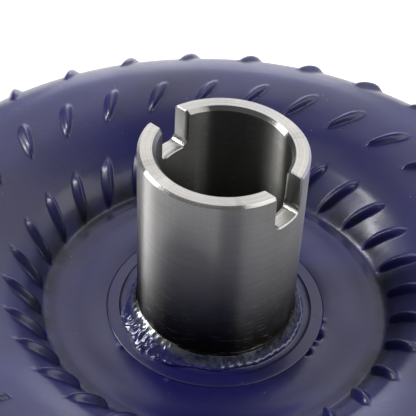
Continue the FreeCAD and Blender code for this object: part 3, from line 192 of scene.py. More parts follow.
def bare_steel(name, light, dark, roughness, stretch, side_shade=None):
    """Turned or ground steel. Fine lines run round the axis, so its gloss stretches across them, and
    long slanted scratches cross them. With side_shade, a colour that darkens and slightly blues the
    hub's side as painted shade and painted reflection, the tube's bore is darkened as painted shade,
    and its foot is darkened towards the ring as painted shade and tinted brown by the heat of the weld."""
    material = new_material(name)
    tree = material.node_tree
    coordinates = add_node(tree, "TexCoord")
    place = coordinates.outputs["Object"]
    parts = add_node(tree, "SeparateXYZ", {0: place})
    flat = add_node(tree, "CombineXYZ", {0: parts.outputs[0], 1: parts.outputs[1]})
    radius = add_node(tree, "VectorMath", {0: flat.outputs[0]}, operation="LENGTH").outputs["Value"]
    around = add_node(tree, "Math", {0: parts.outputs[1], 1: parts.outputs[0]}, operation="ARCTAN2")
    # Grooves of the tool: one noise value for each radius and height, almost the same all round.
    # They are drawn coarser than real ones, so that they show.
    section = add_node(tree, "CombineXYZ", {0: radius, 1: parts.outputs[2]})
    drift = add_node(tree, "VectorMath", {0: place, 1: (0.012, 0.012, 0)}, operation="MULTIPLY")
    ring = add_node(tree, "VectorMath", {0: section.outputs[0], 1: drift.outputs[0]}, operation="ADD")
    lines = add_node(tree, "TexNoise", {"Vector": ring.outputs[0], "Scale": 1 / (0.5 * MM), "Detail": 3.0,
                                        "Roughness": 0.7})
    cloud = add_node(tree, "TexNoise", {"Vector": place, "Scale": 1 / (9 * MM), "Detail": 4.0})
    # Scratches and rub marks: noise drawn out along a slant and along the axis of the unrolled tube.
    unrolled = add_node(tree, "CombineXYZ", {0: around.outputs[0], 1: parts.outputs[2], 2: radius})
    slanted = add_node(tree, "Mapping", {0: unrolled.outputs[0], "Rotation": (0, 0, 0.004),
                                         "Scale": (7.0, 2600.0, 60.0)})
    scratch = add_node(tree, "TexNoise", {"Vector": slanted.outputs[0], "Scale": 1.0, "Detail": 1.0})
    scratched = add_node(tree, "MapRange", {0: scratch.outputs[0], 1: 0.62, 2: 0.78, 4: 0.5})
    upright = add_node(tree, "VectorMath", {0: unrolled.outputs[0], 1: (120.0, 9.0, 40.0)},
                       operation="MULTIPLY")
    brushed = add_node(tree, "TexNoise", {"Vector": upright.outputs[0], "Scale": 1.0, "Detail": 4.0})
    tone = add_node(tree, "Mix", {0: cloud.outputs[0], 6: linear(light), 7: linear(dark)}, data_type="RGBA")
    worn = add_node(tree, "MapRange", {0: lines.outputs[0], 1: 0.3, 2: 0.7, 3: 0.8, 4: 1.05})
    rubbed = add_node(tree, "MapRange", {0: brushed.outputs[0], 1: 0.3, 2: 0.7, 3: 0.9, 4: 1.06})
    wear = add_node(tree, "Math", {0: worn.outputs[0], 1: rubbed.outputs[0]}, operation="MULTIPLY")
    toned = add_node(tree, "Mix", {0: 1.0, 6: tone.outputs[2], 7: wear.outputs[0]}, data_type="RGBA",
                     blend_type="MULTIPLY")
    # Faced ends are smoother than the side. Where a side colour is given, the side's colour is darkened as
    # painted shade, so the ends stay brighter.
    facing_up = add_node(tree, "SeparateXYZ", {0: coordinates.outputs["Normal"]})
    faced = add_node(tree, "Math", {0: facing_up.outputs[2], 1: 0.6}, operation="GREATER_THAN")
    colour = toned.outputs[2]
    if side_shade:
        # Painted shade: the side's colour is multiplied by the side colour, which also slightly blues it as
        # a painted reflection of the enamel.
        side = add_node(tree, "Mix", {0: faced.outputs[0], 6: linear(side_shade), 7: (1, 1, 1, 1)},
                        data_type="RGBA")
        shaded = add_node(tree, "Mix", {0: 1.0, 6: colour, 7: side.outputs[2]}, data_type="RGBA",
                          blend_type="MULTIPLY")
        # Painted shade inside the bore: its colour is mixed towards a dark greenish grey.
        bored = add_node(tree, "MapRange", {0: radius, 1: (hub_bore + 1.15) * MM, 2: (hub_bore + 0.85) * MM,
                                            3: 0.0, 4: 0.45})
        bore_shaded = add_node(tree, "Mix", {0: bored.outputs[0], 6: shaded.outputs[2], 7: linear("#45473E")},
                         data_type="RGBA")
        colour = bore_shaded.outputs[2]
        ragged = add_node(tree, "TexNoise", {"Vector": place, "Scale": 1 / (5 * MM), "Detail": 3.0})
        shift = add_node(tree, "Math", {0: ragged.outputs[0], 1: 5 * MM, 2: -2.5 * MM},
                         operation="MULTIPLY_ADD")
        lifted = add_node(tree, "Math", {0: parts.outputs[2], 1: shift.outputs[0]}, operation="ADD")
        # Each darkening: where it starts and is full above the ring, its share, colour and mixing. The
        # first two are painted shade, darker towards the foot; the last is the brown heat tint of the weld.
        for low, high, share, shade_and_tint, mixing in ((44, 6, 0.75, "#6E6F72", "MULTIPLY"),
                                               (26, 4, 0.9, "#303030", "MULTIPLY"),
                                               (8, 3.5, 0.4, "#2A2019", "MIX")):
            near = add_node(tree, "MapRange", {0: lifted.outputs[0], 1: (FLANGE + low) * MM,
                                               2: (FLANGE + high) * MM, 3: 0.0, 4: share},
                            interpolation_type="SMOOTHSTEP")
            shaded_and_tinted = add_node(tree, "Mix", {0: near.outputs[0], 6: colour, 7: linear(shade_and_tint)},
                              data_type="RGBA", blend_type=mixing)
            colour = shaded_and_tinted.outputs[2]
    bright = add_node(tree, "Mix", {0: scratched.outputs[0], 6: colour, 7: linear("#B4B1A9")},
                      data_type="RGBA")
    smooth = add_node(tree, "MapRange", {0: brushed.outputs[0], 1: 0.3, 2: 0.7, 3: roughness - 0.03,
                                         4: roughness + 0.03})
    smooth = add_node(tree, "Math", {0: faced.outputs[0], 1: -0.4 * roughness, 2: smooth.outputs[0]},
                      operation="MULTIPLY_ADD")
    relief = add_node(tree, "Math", {0: lines.outputs[0], 1: scratched.outputs[0]}, operation="SUBTRACT")
    bump = add_node(tree, "Bump", {"Height": relief.outputs[0], "Strength": 0.25, "Distance": 0.02 * MM})
    tangent = add_node(tree, "Tangent", direction_type="RADIAL", axis="Z")
    shader = add_node(tree, "BsdfPrincipled", {
        "Base Color": bright.outputs[2], "Metallic": 1.0, "Roughness": smooth.outputs[0],
        "Anisotropic": stretch, "Anisotropic Rotation": 0.25, "Tangent": tangent.outputs[0],
        "Normal": bump.outputs[0]})
    add_node(tree, "OutputMaterial", {0: shader.outputs[0]})
    return material


# Ground steel: pale grey with vertical streaks of light. Painted shade darkens and slightly blues its side
# and makes it almost black at its foot.
hub = closed_grid("drive_hub", hub_points(), crease=28)
hub.data.materials.append(bare_steel("ground_steel", "#E4E2DC", "#CDCBC5", 0.4, 1.0,
                                     side_shade="#C8C8CB"))
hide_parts("pump_hub")
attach(hub, "housing")

# ---------------------------------------------------------------- ring under the hub
# A turned steel ring that carries the hub, let into the shell's middle. A groove beside the weld
# keeps its heat in. It is painted with the shell.

groove_inner = 26.4
groove_outer = 29.3
ring_radius = 33.1
ring_lip = 40.0
ring_wall = 8.0
ring_bore = 24.25
ring_corner = 0.5
groove_depth = 0.95
shell_wall = 3.2


def ring_points():
    """The ring's section carried round the axis: a flat top with a groove of half an ellipse, edges
    that are rounded off, and a lip below. Paint has run into the groove, so its depth follows a sum
    of slow waves round the axis."""
    sweep = np.radians(np.linspace(0, 180, 13))
    groove_middle = (groove_inner + groove_outer) / 2
    groove_half = (groove_outer - groove_inner) / 2
    quarter = np.radians(np.linspace(0, 90, 5))
    ring_edge = ring_radius - 0.05
    radius = np.concatenate([
        [ring_bore, 25.0, 26.0], groove_middle - groove_half * np.cos(sweep), [29.6, 30.5, 32.0],
        ring_edge - ring_corner + ring_corner * np.sin(quarter),
        [ring_edge, ring_lip, ring_lip, ring_bore]])
    height = np.concatenate([
        [0.0, 0.0, 0.0], -np.sin(sweep) ** 0.8, [0.0, 0.0, 0.0],
        -ring_corner + ring_corner * np.cos(quarter),
        [-shell_wall - 0.02, -shell_wall - 0.02, -ring_wall, -ring_wall]])
    azimuth = np.arange(0, 360, 1.0)[None, :]
    turn = np.radians(azimuth)
    depth = groove_depth + 0.25 * np.sin(3 * turn + 1.1) + 0.2 * np.sin(7 * turn) * np.sin(4 * turn + 0.6)
    grooved = np.abs(radius - groove_middle) < groove_half + 0.01
    height = height[:, None] * np.where(grooved[:, None], depth, 1.0)
    return polar_points(radius[:, None], azimuth, FLANGE + height)


def painted_steel(name, light, dark, relief_size, dark_hollow_radius=0):
    """Sprayed indigo enamel over steel: a deep colour under a hard clear gloss, with the slight
    orange peel of a spray gun, drifting tone, dust caught in the film and a few pale rubs. With
    dark_hollow_radius, the colour is darkened to near black and dulled in noisy patches in the hollow at
    that distance from the axis."""
    material = new_material(name)
    tree = material.node_tree
    place = add_node(tree, "TexCoord").outputs["Object"]
    cloud = add_node(tree, "TexNoise", {"Vector": place, "Scale": 1 / (34 * MM), "Detail": 5.0,
                                        "Roughness": 0.55})
    mottle = add_node(tree, "MapRange", {0: cloud.outputs[0], 1: 0.35, 2: 0.68})
    tone = add_node(tree, "Mix", {0: mottle.outputs[0], 6: linear(light), 7: linear(dark)},
                    data_type="RGBA")
    # Dust: sparse small spots, each at a cell's middle, with only some cells kept.
    cells = add_node(tree, "TexVoronoi", {"Vector": place, "Scale": 1 / (2.4 * MM)})
    spot = add_node(tree, "MapRange", {0: cells.outputs["Distance"], 1: 0.09, 2: 0.04})
    pick = add_node(tree, "SeparateXYZ", {0: cells.outputs["Color"]})
    kept = add_node(tree, "Math", {0: pick.outputs[0], 1: 0.9}, operation="GREATER_THAN")
    dust = add_node(tree, "Math", {0: spot.outputs[0], 1: kept.outputs[0]}, operation="MULTIPLY")
    rub = add_node(tree, "TexNoise", {"Vector": place, "Scale": 1 / (12 * MM), "Detail": 6.0,
                                      "Roughness": 0.7})
    rubbed = add_node(tree, "MapRange", {0: rub.outputs[0], 1: 0.62, 2: 0.78, 3: 0.0, 4: 0.35})
    scuffed = add_node(tree, "Mix", {0: rubbed.outputs[0], 6: tone.outputs[2], 7: linear("#2C2A50")},
                       data_type="RGBA")
    dusted = add_node(tree, "Mix", {0: dust.outputs[0], 6: scuffed.outputs[2], 7: linear("#8F8EA0")},
                      data_type="RGBA")
    colour = dusted.outputs[2]
    smear = add_node(tree, "TexNoise", {"Vector": place, "Scale": 1 / (21 * MM), "Detail": 4.0})
    matt = add_node(tree, "MapRange", {0: smear.outputs[0], 1: 0.3, 2: 0.7, 3: 0.34, 4: 0.5})
    if dark_hollow_radius:
        # Near-black, duller patches of noise in the hollow at that radius.
        parts = add_node(tree, "SeparateXYZ", {0: place})
        flat = add_node(tree, "CombineXYZ", {0: parts.outputs[0], 1: parts.outputs[1]})
        radius = add_node(tree, "VectorMath", {0: flat.outputs[0]}, operation="LENGTH")
        off = add_node(tree, "Math", {0: radius.outputs["Value"], 1: dark_hollow_radius * MM},
                       operation="SUBTRACT")
        away = add_node(tree, "Math", {0: off.outputs[0]}, operation="ABSOLUTE")
        close = add_node(tree, "MapRange", {0: away.outputs[0], 1: 5.5 * MM, 2: 0.5 * MM},
                         interpolation_type="SMOOTHSTEP")
        patchy = add_node(tree, "TexNoise", {"Vector": place, "Scale": 1 / (8 * MM), "Detail": 5.0,
                                             "Roughness": 0.65})
        patch_share = add_node(tree, "MapRange", {0: patchy.outputs[0], 1: 0.4, 2: 0.58, 3: 0.0, 4: 0.85})
        hollow_darkening = add_node(tree, "Math", {0: close.outputs[0], 1: patch_share.outputs[0]}, operation="MULTIPLY")
        hollow_darkened = add_node(tree, "Mix", {0: hollow_darkening.outputs[0], 6: colour, 7: linear("#121118")},
                         data_type="RGBA")
        colour = hollow_darkened.outputs[2]
        matt = add_node(tree, "Math", {0: hollow_darkening.outputs[0], 1: 0.35, 2: matt.outputs[0]},
                        operation="MULTIPLY_ADD")
    peel = add_node(tree, "TexNoise", {"Vector": place, "Scale": 1 / (relief_size * MM), "Detail": 2.0})
    coarse = add_node(tree, "TexNoise", {"Vector": place, "Scale": 1 / (7 * MM), "Detail": 2.0})
    film = add_node(tree, "Math", {0: coarse.outputs[0], 1: 2.0, 2: peel.outputs[0]},
                    operation="MULTIPLY_ADD")
    grit = add_node(tree, "Math", {0: dust.outputs[0], 1: 1.5, 2: film.outputs[0]},
                    operation="MULTIPLY_ADD")
    bump = add_node(tree, "Bump", {"Height": grit.outputs[0], "Strength": 0.5, "Distance": 0.05 * MM})
    shader = add_node(tree, "BsdfPrincipled", {
        "Base Color": colour, "Roughness": matt.outputs[0], "IOR": 1.5,
        "Coat Weight": 0.55, "Coat Roughness": 0.2, "Coat IOR": 1.5,
        "Normal": bump.outputs[0], "Coat Normal": bump.outputs[0]})
    add_node(tree, "OutputMaterial", {0: shader.outputs[0]})
    return material


# Indigo enamel: almost black where nothing bright is mirrored, and greyed by a soft sheen elsewhere.
enamel = painted_steel("indigo_enamel", "#1A1861", "#13114B", 1.5)
hub_ring = closed_grid("hub_ring", ring_points(), crease=40)
hub_ring.data.materials.append(enamel)
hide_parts("hub_flange")
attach(hub_ring, "housing")

# ---------------------------------------------------------------- weld round the hub
# A bead laid by hand in one pass from the ring up to the hub. Where the pass starts and ends it is
# wide and lumpy. Overspray covers its outer half, and bare metal glints beside the hub.

weld_toe = 26.6
weld_rise = 3.5
weld_start = -102           # azimuth of the middle of the wide patch
weld_start_half = 27        # half its length, in degrees
ripple_pitch = 1.2
weld_middle = 27            # radius at which lengths along the bead are measured


def weld_points():
    """A fillet from the ring up to the hub, carried round the axis: a quarter wave from toe to hub,
    swollen outwards. Its ripples are arcs that bow along the bead, bent further by slow waves, and
    lumps made of several crossing sine waves lie on them. The start of the pass is a wide patch,
    where ripples and lumps are taller."""
    azimuth = np.arange(0, 360, 0.4)[None, :]
    across = np.linspace(0, 1, 36)[:, None]
    offset = (azimuth - weld_start + 180) % 360 - 180
    patch = np.exp(-(np.abs(offset) / weld_start_half) ** 3)
    swell = 0.18 * np.sin(np.radians(5 * azimuth + 40)) + 0.12 * np.sin(np.radians(13 * azimuth))
    crumble = 0.22 * np.sin(np.radians(37 * azimuth)) * np.sin(np.radians(23 * azimuth + 50))
    toe = weld_toe + 0.9 * swell + crumble + 4.0 * patch * (1 - 0.25 * np.sin(np.radians(azimuth * 9)))
    rise = weld_rise + swell + 0.8 * patch
    top_radius = hub_foot - 0.35
    radius = toe + (top_radius - toe) * across
    curve = 0.5 - 0.5 * np.cos(np.pi * across)
    height = rise * (0.55 * curve + 0.45 * across ** 2.2)
    length = np.radians(azimuth) * weld_middle
    bowed = length + 6.5 * (across - 0.55) ** 2 + 0.7 * np.sin(length * 0.8 + across * 3)
    ripple = np.sin(np.pi * bowed / ripple_pitch) + 0.5 * np.sin(np.pi * bowed / 0.67 + 1.3)
    fade = np.sin(np.pi * np.clip(across * 1.02, 0, 1))
    height = height + (0.03 + 0.08 * patch) * fade * ripple
    dice = np.random.default_rng(5)
    lumps = 0 * radius
    for wave in (6.0, 4.6, 3.4, 2.6):
        lean, start, cross = dice.uniform(0, 2 * math.pi, 3)
        ahead = length * math.cos(lean) + radius * math.sin(lean)
        aside = radius * math.cos(lean) - length * math.sin(lean)
        crest = np.sin(2 * np.pi * ahead / wave + start) * np.sin(3.9 * aside / wave + cross)
        lumps = lumps + wave / 4 * crest
    height = height + (0.06 + 0.24 * patch) * fade * lumps
    height = np.maximum(height, 0.0) + 0.03
    # The bead's underside closes it below the ring's face.
    under_radius = np.concatenate([radius[-1:] * 0 + top_radius, radius[:1]])
    under_height = np.full_like(under_radius, -0.6)
    radius = np.concatenate([radius, under_radius])
    height = np.concatenate([height, under_height])
    return polar_points(radius, azimuth + 0 * radius, FLANGE + height)


def weld_metal(name, hub_edge):
    """Weld metal as laid: wavy and glossy, greenish silver at the hub's edge. Overspray in the
    enamel's colour covers it further out, and ends there in a ragged line."""
    material = new_material(name)
    tree = material.node_tree
    place = add_node(tree, "TexCoord").outputs["Object"]
    parts = add_node(tree, "SeparateXYZ", {0: place})
    flat = add_node(tree, "CombineXYZ", {0: parts.outputs[0], 1: parts.outputs[1]})
    radius = add_node(tree, "VectorMath", {0: flat.outputs[0]}, operation="LENGTH").outputs["Value"]
    ragged = add_node(tree, "TexNoise", {"Vector": place, "Scale": 1 / (1.6 * MM), "Detail": 4.0,
                                         "Roughness": 0.6})
    edge = add_node(tree, "Math", {0: ragged.outputs[0], 1: 2.6 * MM, 2: radius},
                    operation="MULTIPLY_ADD")
    covered = add_node(tree, "MapRange", {0: edge.outputs[0], 1: (hub_edge + 1.8) * MM,
                                          2: (hub_edge + 3.2) * MM})
    heat = add_node(tree, "TexNoise", {"Vector": place, "Scale": 1 / (3 * MM), "Detail": 3.0})
    bare = add_node(tree, "Mix", {0: heat.outputs[0], 6: linear("#8F958C"), 7: linear("#5C6070")},
                    data_type="RGBA")
    colour = add_node(tree, "Mix", {0: covered.outputs[0], 6: bare.outputs[2], 7: linear("#232160")},
                      data_type="RGBA")
    metal = add_node(tree, "MapRange", {0: covered.outputs[0], 3: 1.0, 4: 0.0})
    gloss = add_node(tree, "MapRange", {0: ragged.outputs[0], 1: 0.3, 2: 0.7, 3: 0.16, 4: 0.34})
    fine = add_node(tree, "TexNoise", {"Vector": place, "Scale": 1 / (0.6 * MM), "Detail": 3.0})
    bump = add_node(tree, "Bump", {"Height": fine.outputs[0], "Strength": 0.4, "Distance": 0.06 * MM})
    shader = add_node(tree, "BsdfPrincipled", {
        "Base Color": colour.outputs[2], "Metallic": metal.outputs[0], "Roughness": gloss.outputs[0],
        "Coat Weight": 1.0, "Coat Roughness": 0.12, "Normal": bump.outputs[0]})
    add_node(tree, "OutputMaterial", {0: shader.outputs[0]})
    return material


# Weld metal: glints like wet metal beside the hub, and blue with sharp highlights further out.
hub_bead = closed_grid("hub_bead", weld_points(), crease=60)
hub_bead.data.materials.append(weld_metal("hub_weld_metal", hub_foot - 0.01))
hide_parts("hub_weld")
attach(hub_bead, "housing")

# ---------------------------------------------------------------- impeller shell
# The gearbox-side half of the housing, deep drawn from sheet steel. Three rows of beads are pressed
# out of it over the tabs of each vane, and it is painted after welding.

vane_count = 31
vane_sweep = 30.5
first_vane = 10.66
valley_radius = 51.5
crease_radius = 62.0
crest_radius = 91.9
crest_height = 18.8
crest_curve = 67.0
shell_radius = 121.9
shoulder_curve = 30.0
seam_height = -14.3
dish = (            # radius and height of the sheet's bends from the ring to the foot of the rise
    (ring_radius + 0.05, -0.3),
    (ring_radius + 0.2, 0.0),
    (38.5, 0.7),
    (45.0, 0.1),
    (48.8, 1.45),
    (valley_radius, -0.1),
    (valley_radius + 2, 3.1),
    (valley_radius + 5.5, 7.6),
)
bend_length = 8.2           # length over which the bends are averaged
joint_lumps = (     # azimuth, size and height of lumps and gaps of weld and sealer on the joint
    (14.7, 1.0, 0.75),
    (31.0, 0.7, 0.4),
    (-72.5, 0.8, 0.6),
    (-104.9, 0.9, 0.6),
    (6.0, 0.8, -0.9),
    (9.5, 0.7, 0.7),
    (19.0, 1.1, -0.9),
    (24.0, 0.8, 0.6),
)
bead_rows = (       # radius of the middle, length, width, height, and how much wider and taller it
                    # gets towards its outer end
    (57.4, 16.5, 3.6, 2.3, 0.15, -0.05),
    (82.0, 14.5, 3.9, 2.1, 0.40, -0.10),
    (109.0, 14.0, 5.0, 1.9, 0.05, 0.20),
)


def shell_profile():
    """The shell's outside from the ring out to the seam, as length, radius and height at every tenth
    of a millimetre: straight lines to the crease, an arc to the crest, an arc over the shoulder and a
    straight rim, all averaged over the bend length, as drawn steel has no sharp bends."""
    inward = np.linspace(crest_radius - crease_radius, 0, 300)
    crest_arc = crest_height - crest_curve + np.sqrt(crest_curve ** 2 - inward ** 2)
    fall = np.radians(np.linspace(0, 90, 300))
    shoulder = fall[1:]
    radius = np.concatenate([[bend[0] for bend in dish], crest_radius - inward,
                             crest_radius + shoulder_curve * np.sin(shoulder), [shell_radius]])
    height = np.concatenate([[bend[1] for bend in dish], crest_arc,
                             crest_height - shoulder_curve * (1 - np.cos(shoulder)), [seam_height]])
    length = np.concatenate([[0], np.cumsum(np.hypot(np.diff(radius), np.diff(height)))])
    even = np.linspace(0, length[-1], int(length[-1] * 10))
    radius = np.interp(even, length, radius)
    height = np.interp(even, length, height)
    window = np.hanning(int(bend_length * 10) + 1)[1:-1]
    window = window / window.sum()
    half_window = len(window) // 2
    smoothed = []
    for line in (radius, height):
        before = 2 * line[0] - line[half_window:0:-1]
        after = 2 * line[-1] - line[-2:-half_window - 2:-1]
        smoothed.append(np.convolve(np.concatenate([before, line, after]), window, mode="valid"))
    return even, smoothed[0], smoothed[1]


def vane_turn(radius):
    """Azimuth of a vane at a radius, from its azimuth at the valley: it falls with the logarithm of
    the radius, so that the vane keeps one angle to the radial direction."""
    kept = np.maximum(radius, 50.0)
    return -np.degrees(math.tan(math.radians(vane_sweep))) * np.log(kept / valley_radius)


def shell_points():
    """The profile carried round the axis along the vanes' spiral, and back along the inside at the
    sheet's thickness. A bead is a leaf-shaped ridge along the vane, whose height falls off as a
    cosine with the distance from its middle line. Slow ripples of a few hundredths of a millimetre
    go round and along the sheet. The lumps on the joint with the ring are bell-shaped."""
    even, line_radius, line_height = shell_profile()
    # A length along the profile is this share of the same length along a vane.
    share = math.cos(math.radians(vane_sweep))
    # The profile's end is left out, as the rim stands at one radius.
    middles = [np.interp(row[0], line_radius[:-60], even[:-60]) for row in bead_rows]
    # Rows are closest on the beads and on the joint with the ring.
    density = 0.55 + 0 * even
    density += 1.6 * np.exp(-(even / 2.5) ** 2)
    for middle, row in zip(middles, bead_rows):
        half = row[1] * share / 2 + 1.0
        density += 0.75 / (1 + np.exp((np.abs(even - middle) - half) * 3))
    steps = np.cumsum(density)
    count = 98
    along = np.interp(np.linspace(steps[0], steps[-1], count), steps, even)
    radius = np.interp(along, even, line_radius)
    height = np.interp(along, even, line_height)
    slope_r = np.gradient(line_radius, even)
    slope_z = np.gradient(line_height, even)
    normal_r = -np.interp(along, even, slope_z)
    normal_z = np.interp(along, even, slope_r)
    scale = np.hypot(normal_r, normal_z)
    normal_r, normal_z = normal_r / scale, normal_z / scale
    # Columns: close together across the beads.
    pitch = 360 / vane_count
    near_half = 2.6
    near = np.linspace(-near_half, near_half, 17)[:-1]
    far = np.linspace(near_half, pitch - near_half, 9)[:-1]
    offset = np.tile(np.concatenate([near, far]), vane_count)
    start = first_vane + np.repeat(np.arange(vane_count) * pitch, len(near) + len(far)) + offset
    azimuth = start[None, :] + vane_turn(radius)[:, None]
    across = radius[:, None] * np.radians(offset)[None, :] * share
    lift = 0 * azimuth
    for middle, (_, length, width, rise, widen, grow) in zip(middles, bead_rows):
        station = np.clip((along[:, None] - middle) / share / (length / 2), -1, 1)
        half = width / 2 * (1 + widen * station) * (1 - np.abs(station) ** 3.2) ** 0.55 + 0.01
        away = np.clip(np.abs(across) / half, 0, 1)
        crown = rise * (1 + grow * station) * (1 - np.abs(station) ** 3) ** 0.7
        lift = lift + crown * np.cos(np.pi / 2 * away) ** 1.1
    ripple_height = 0.035
    dice = np.random.default_rng(11)
    for turns, waves in ((2, 3.1), (3, 5.3), (5, 2.2), (7, 7.9), (11, 4.6)):
        phase = dice.uniform(0, 2 * math.pi)
        wave = np.sin(np.radians(turns * azimuth) + waves * along[:, None] / 18 + phase)
        lift = lift + ripple_height * wave
    for where, size, tall in joint_lumps:
        turn = np.radians((azimuth - where + 180) % 360 - 180) * radius[:, None]
        off = np.hypot(turn, (along[:, None] - 0.3) * 1.2)
        lift = lift + tall * np.exp(-(off / size) ** 2)
    outer_r = radius[:, None] + normal_r[:, None] * lift
    outer_z = height[:, None] + normal_z[:, None] * lift
    back = slice(None, None, -5)
    inner_r = radius[back] - normal_r[back] * shell_wall
    inner_z = height[back] - normal_z[back] * shell_wall
    inner_azimuth = start[None, :] + vane_turn(inner_r)[:, None]
    inner_r = np.repeat(inner_r[:, None], azimuth.shape[1], axis=1)
    inner_z = np.repeat(inner_z[:, None], azimuth.shape[1], axis=1)
    points = polar_points(outer_r, azimuth, FLANGE + outer_z)
    inside = polar_points(inner_r, inner_azimuth, FLANGE + inner_z)
    return np.concatenate([points, inside])


# The enamel again, darkened to near black in noisy patches at the foot of the rise.
shell = closed_grid("impeller_skin", shell_points(), crease=50)
shell.data.materials.append(painted_steel("shell_enamel", "#1A1861", "#13114B", 1.5,
                                          dark_hollow_radius=valley_radius + 1.5))
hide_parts("impeller_shell")
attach(shell, "housing")

# ---------------------------------------------------------------- weld inside the ring's groove
# A hidden bead joins the ring to the shell from inside. Its metal is grey and scaly, and oil has
# browned it.


def give(material, *nodes):
    """Makes one material the only one of each named node of the design."""
    for node in nodes:
        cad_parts[node].data.materials.clear()
        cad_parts[node].data.materials.append(material)


def rough_steel(name, light, dark, grain, roughness, stain="#3A2E24", stain_share=0.3, relief=0.06):
    """Metal whose surface was left as rolled, cast or welded: drifting tone, a grain of the given
    size that also shows as relief, and thin stains of oil and heat. Grain and relief are in
    millimetres."""
    material = new_material(name)
    tree = material.node_tree
    place = add_node(tree, "TexCoord").outputs["Object"]
    cloud = add_node(tree, "TexNoise", {"Vector": place, "Scale": 1 / (14 * MM), "Detail": 5.0,
                                        "Roughness": 0.6})
    tone = add_node(tree, "Mix", {0: cloud.outputs[0], 6: linear(light), 7: linear(dark)}, data_type="RGBA")
    grains = add_node(tree, "TexNoise", {"Vector": place, "Scale": 1 / (grain * MM), "Detail": 4.0,
                                         "Roughness": 0.65})
    speckled = add_node(tree, "MapRange", {0: grains.outputs[0], 1: 0.3, 2: 0.7, 3: 0.8, 4: 1.1})
    grained = add_node(tree, "Mix", {0: 1.0, 6: tone.outputs[2], 7: speckled.outputs[0]}, data_type="RGBA",
                       blend_type="MULTIPLY")
    oil = add_node(tree, "TexNoise", {"Vector": place, "Scale": 1 / (23 * MM), "Detail": 6.0,
                                      "Roughness": 0.7})
    stained = add_node(tree, "MapRange", {0: oil.outputs[0], 1: 0.5, 2: 0.68, 3: 0.0, 4: stain_share})
    colour = add_node(tree, "Mix", {0: stained.outputs[0], 6: grained.outputs[2], 7: linear(stain)},
                      data_type="RGBA")
    smooth = add_node(tree, "MapRange", {0: grains.outputs[0], 1: 0.3, 2: 0.7, 3: roughness - 0.06,
                                         4: roughness + 0.08})
    bump = add_node(tree, "Bump", {"Height": grains.outputs[0], "Strength": 0.5, "Distance": relief * MM})
    shader = add_node(tree, "BsdfPrincipled", {
        "Base Color": colour.outputs[2], "Metallic": 1.0, "Roughness": smooth.outputs[0],
        "Normal": bump.outputs[0]})
    add_node(tree, "OutputMaterial", {0: shader.outputs[0]})
    return material


give(rough_steel("scaled_weld_metal", "#7D7A76", "#4B4744", 0.7, 0.42, relief=0.15), "flange_weld")

# ---------------------------------------------------------------- impeller vanes and core ring
# Thin steel vanes, pressed and brazed into the shell and its core ring. They are left bare, and the
# furnace has turned them a dull straw grey.

# Straw-grey sheet, duller than the turned parts.
furnace_steel = rough_steel("brazed_sheet_steel", "#99938A", "#6B665F", 0.9, 0.4, stain="#6A4B2C",
                            relief=0.02)
give(furnace_steel, "impeller_vanes", "impeller_core_ring")

# ---------------------------------------------------------------- front cover
# The engine-side half of the housing, pressed from thicker sheet steel. It is welded to the shell at
# the seam and painted with it, a little more coarsely.

cover_enamel = painted_steel("cover_enamel", "#191760", "#13114B", 1.7)
give(cover_enamel, "front_cover")

# ---------------------------------------------------------------- mounting pads
# Blocks of forged steel welded round the cover, tapped for the bolts of the engine's drive plate.
# They are painted with the cover, more thickly.

give(painted_steel("pad_enamel", "#1B1962", "#14124D", 2.2), "mounting_pads")

# ---------------------------------------------------------------- balance weight
# A small steel plate, spot welded to the cover once the housing has been spun and balanced. Its own
# paint is slightly lighter.

give(painted_steel("weight_enamel", "#1F1D66", "#161452", 1.2), "balance_weight")

# ---------------------------------------------------------------- welds of the pads and the seam
# The seam bead is laid by machine round the joint of the two halves; the pads' beads by hand. Both
# are under the paint, whose film is thin and lumpy over their ripples.


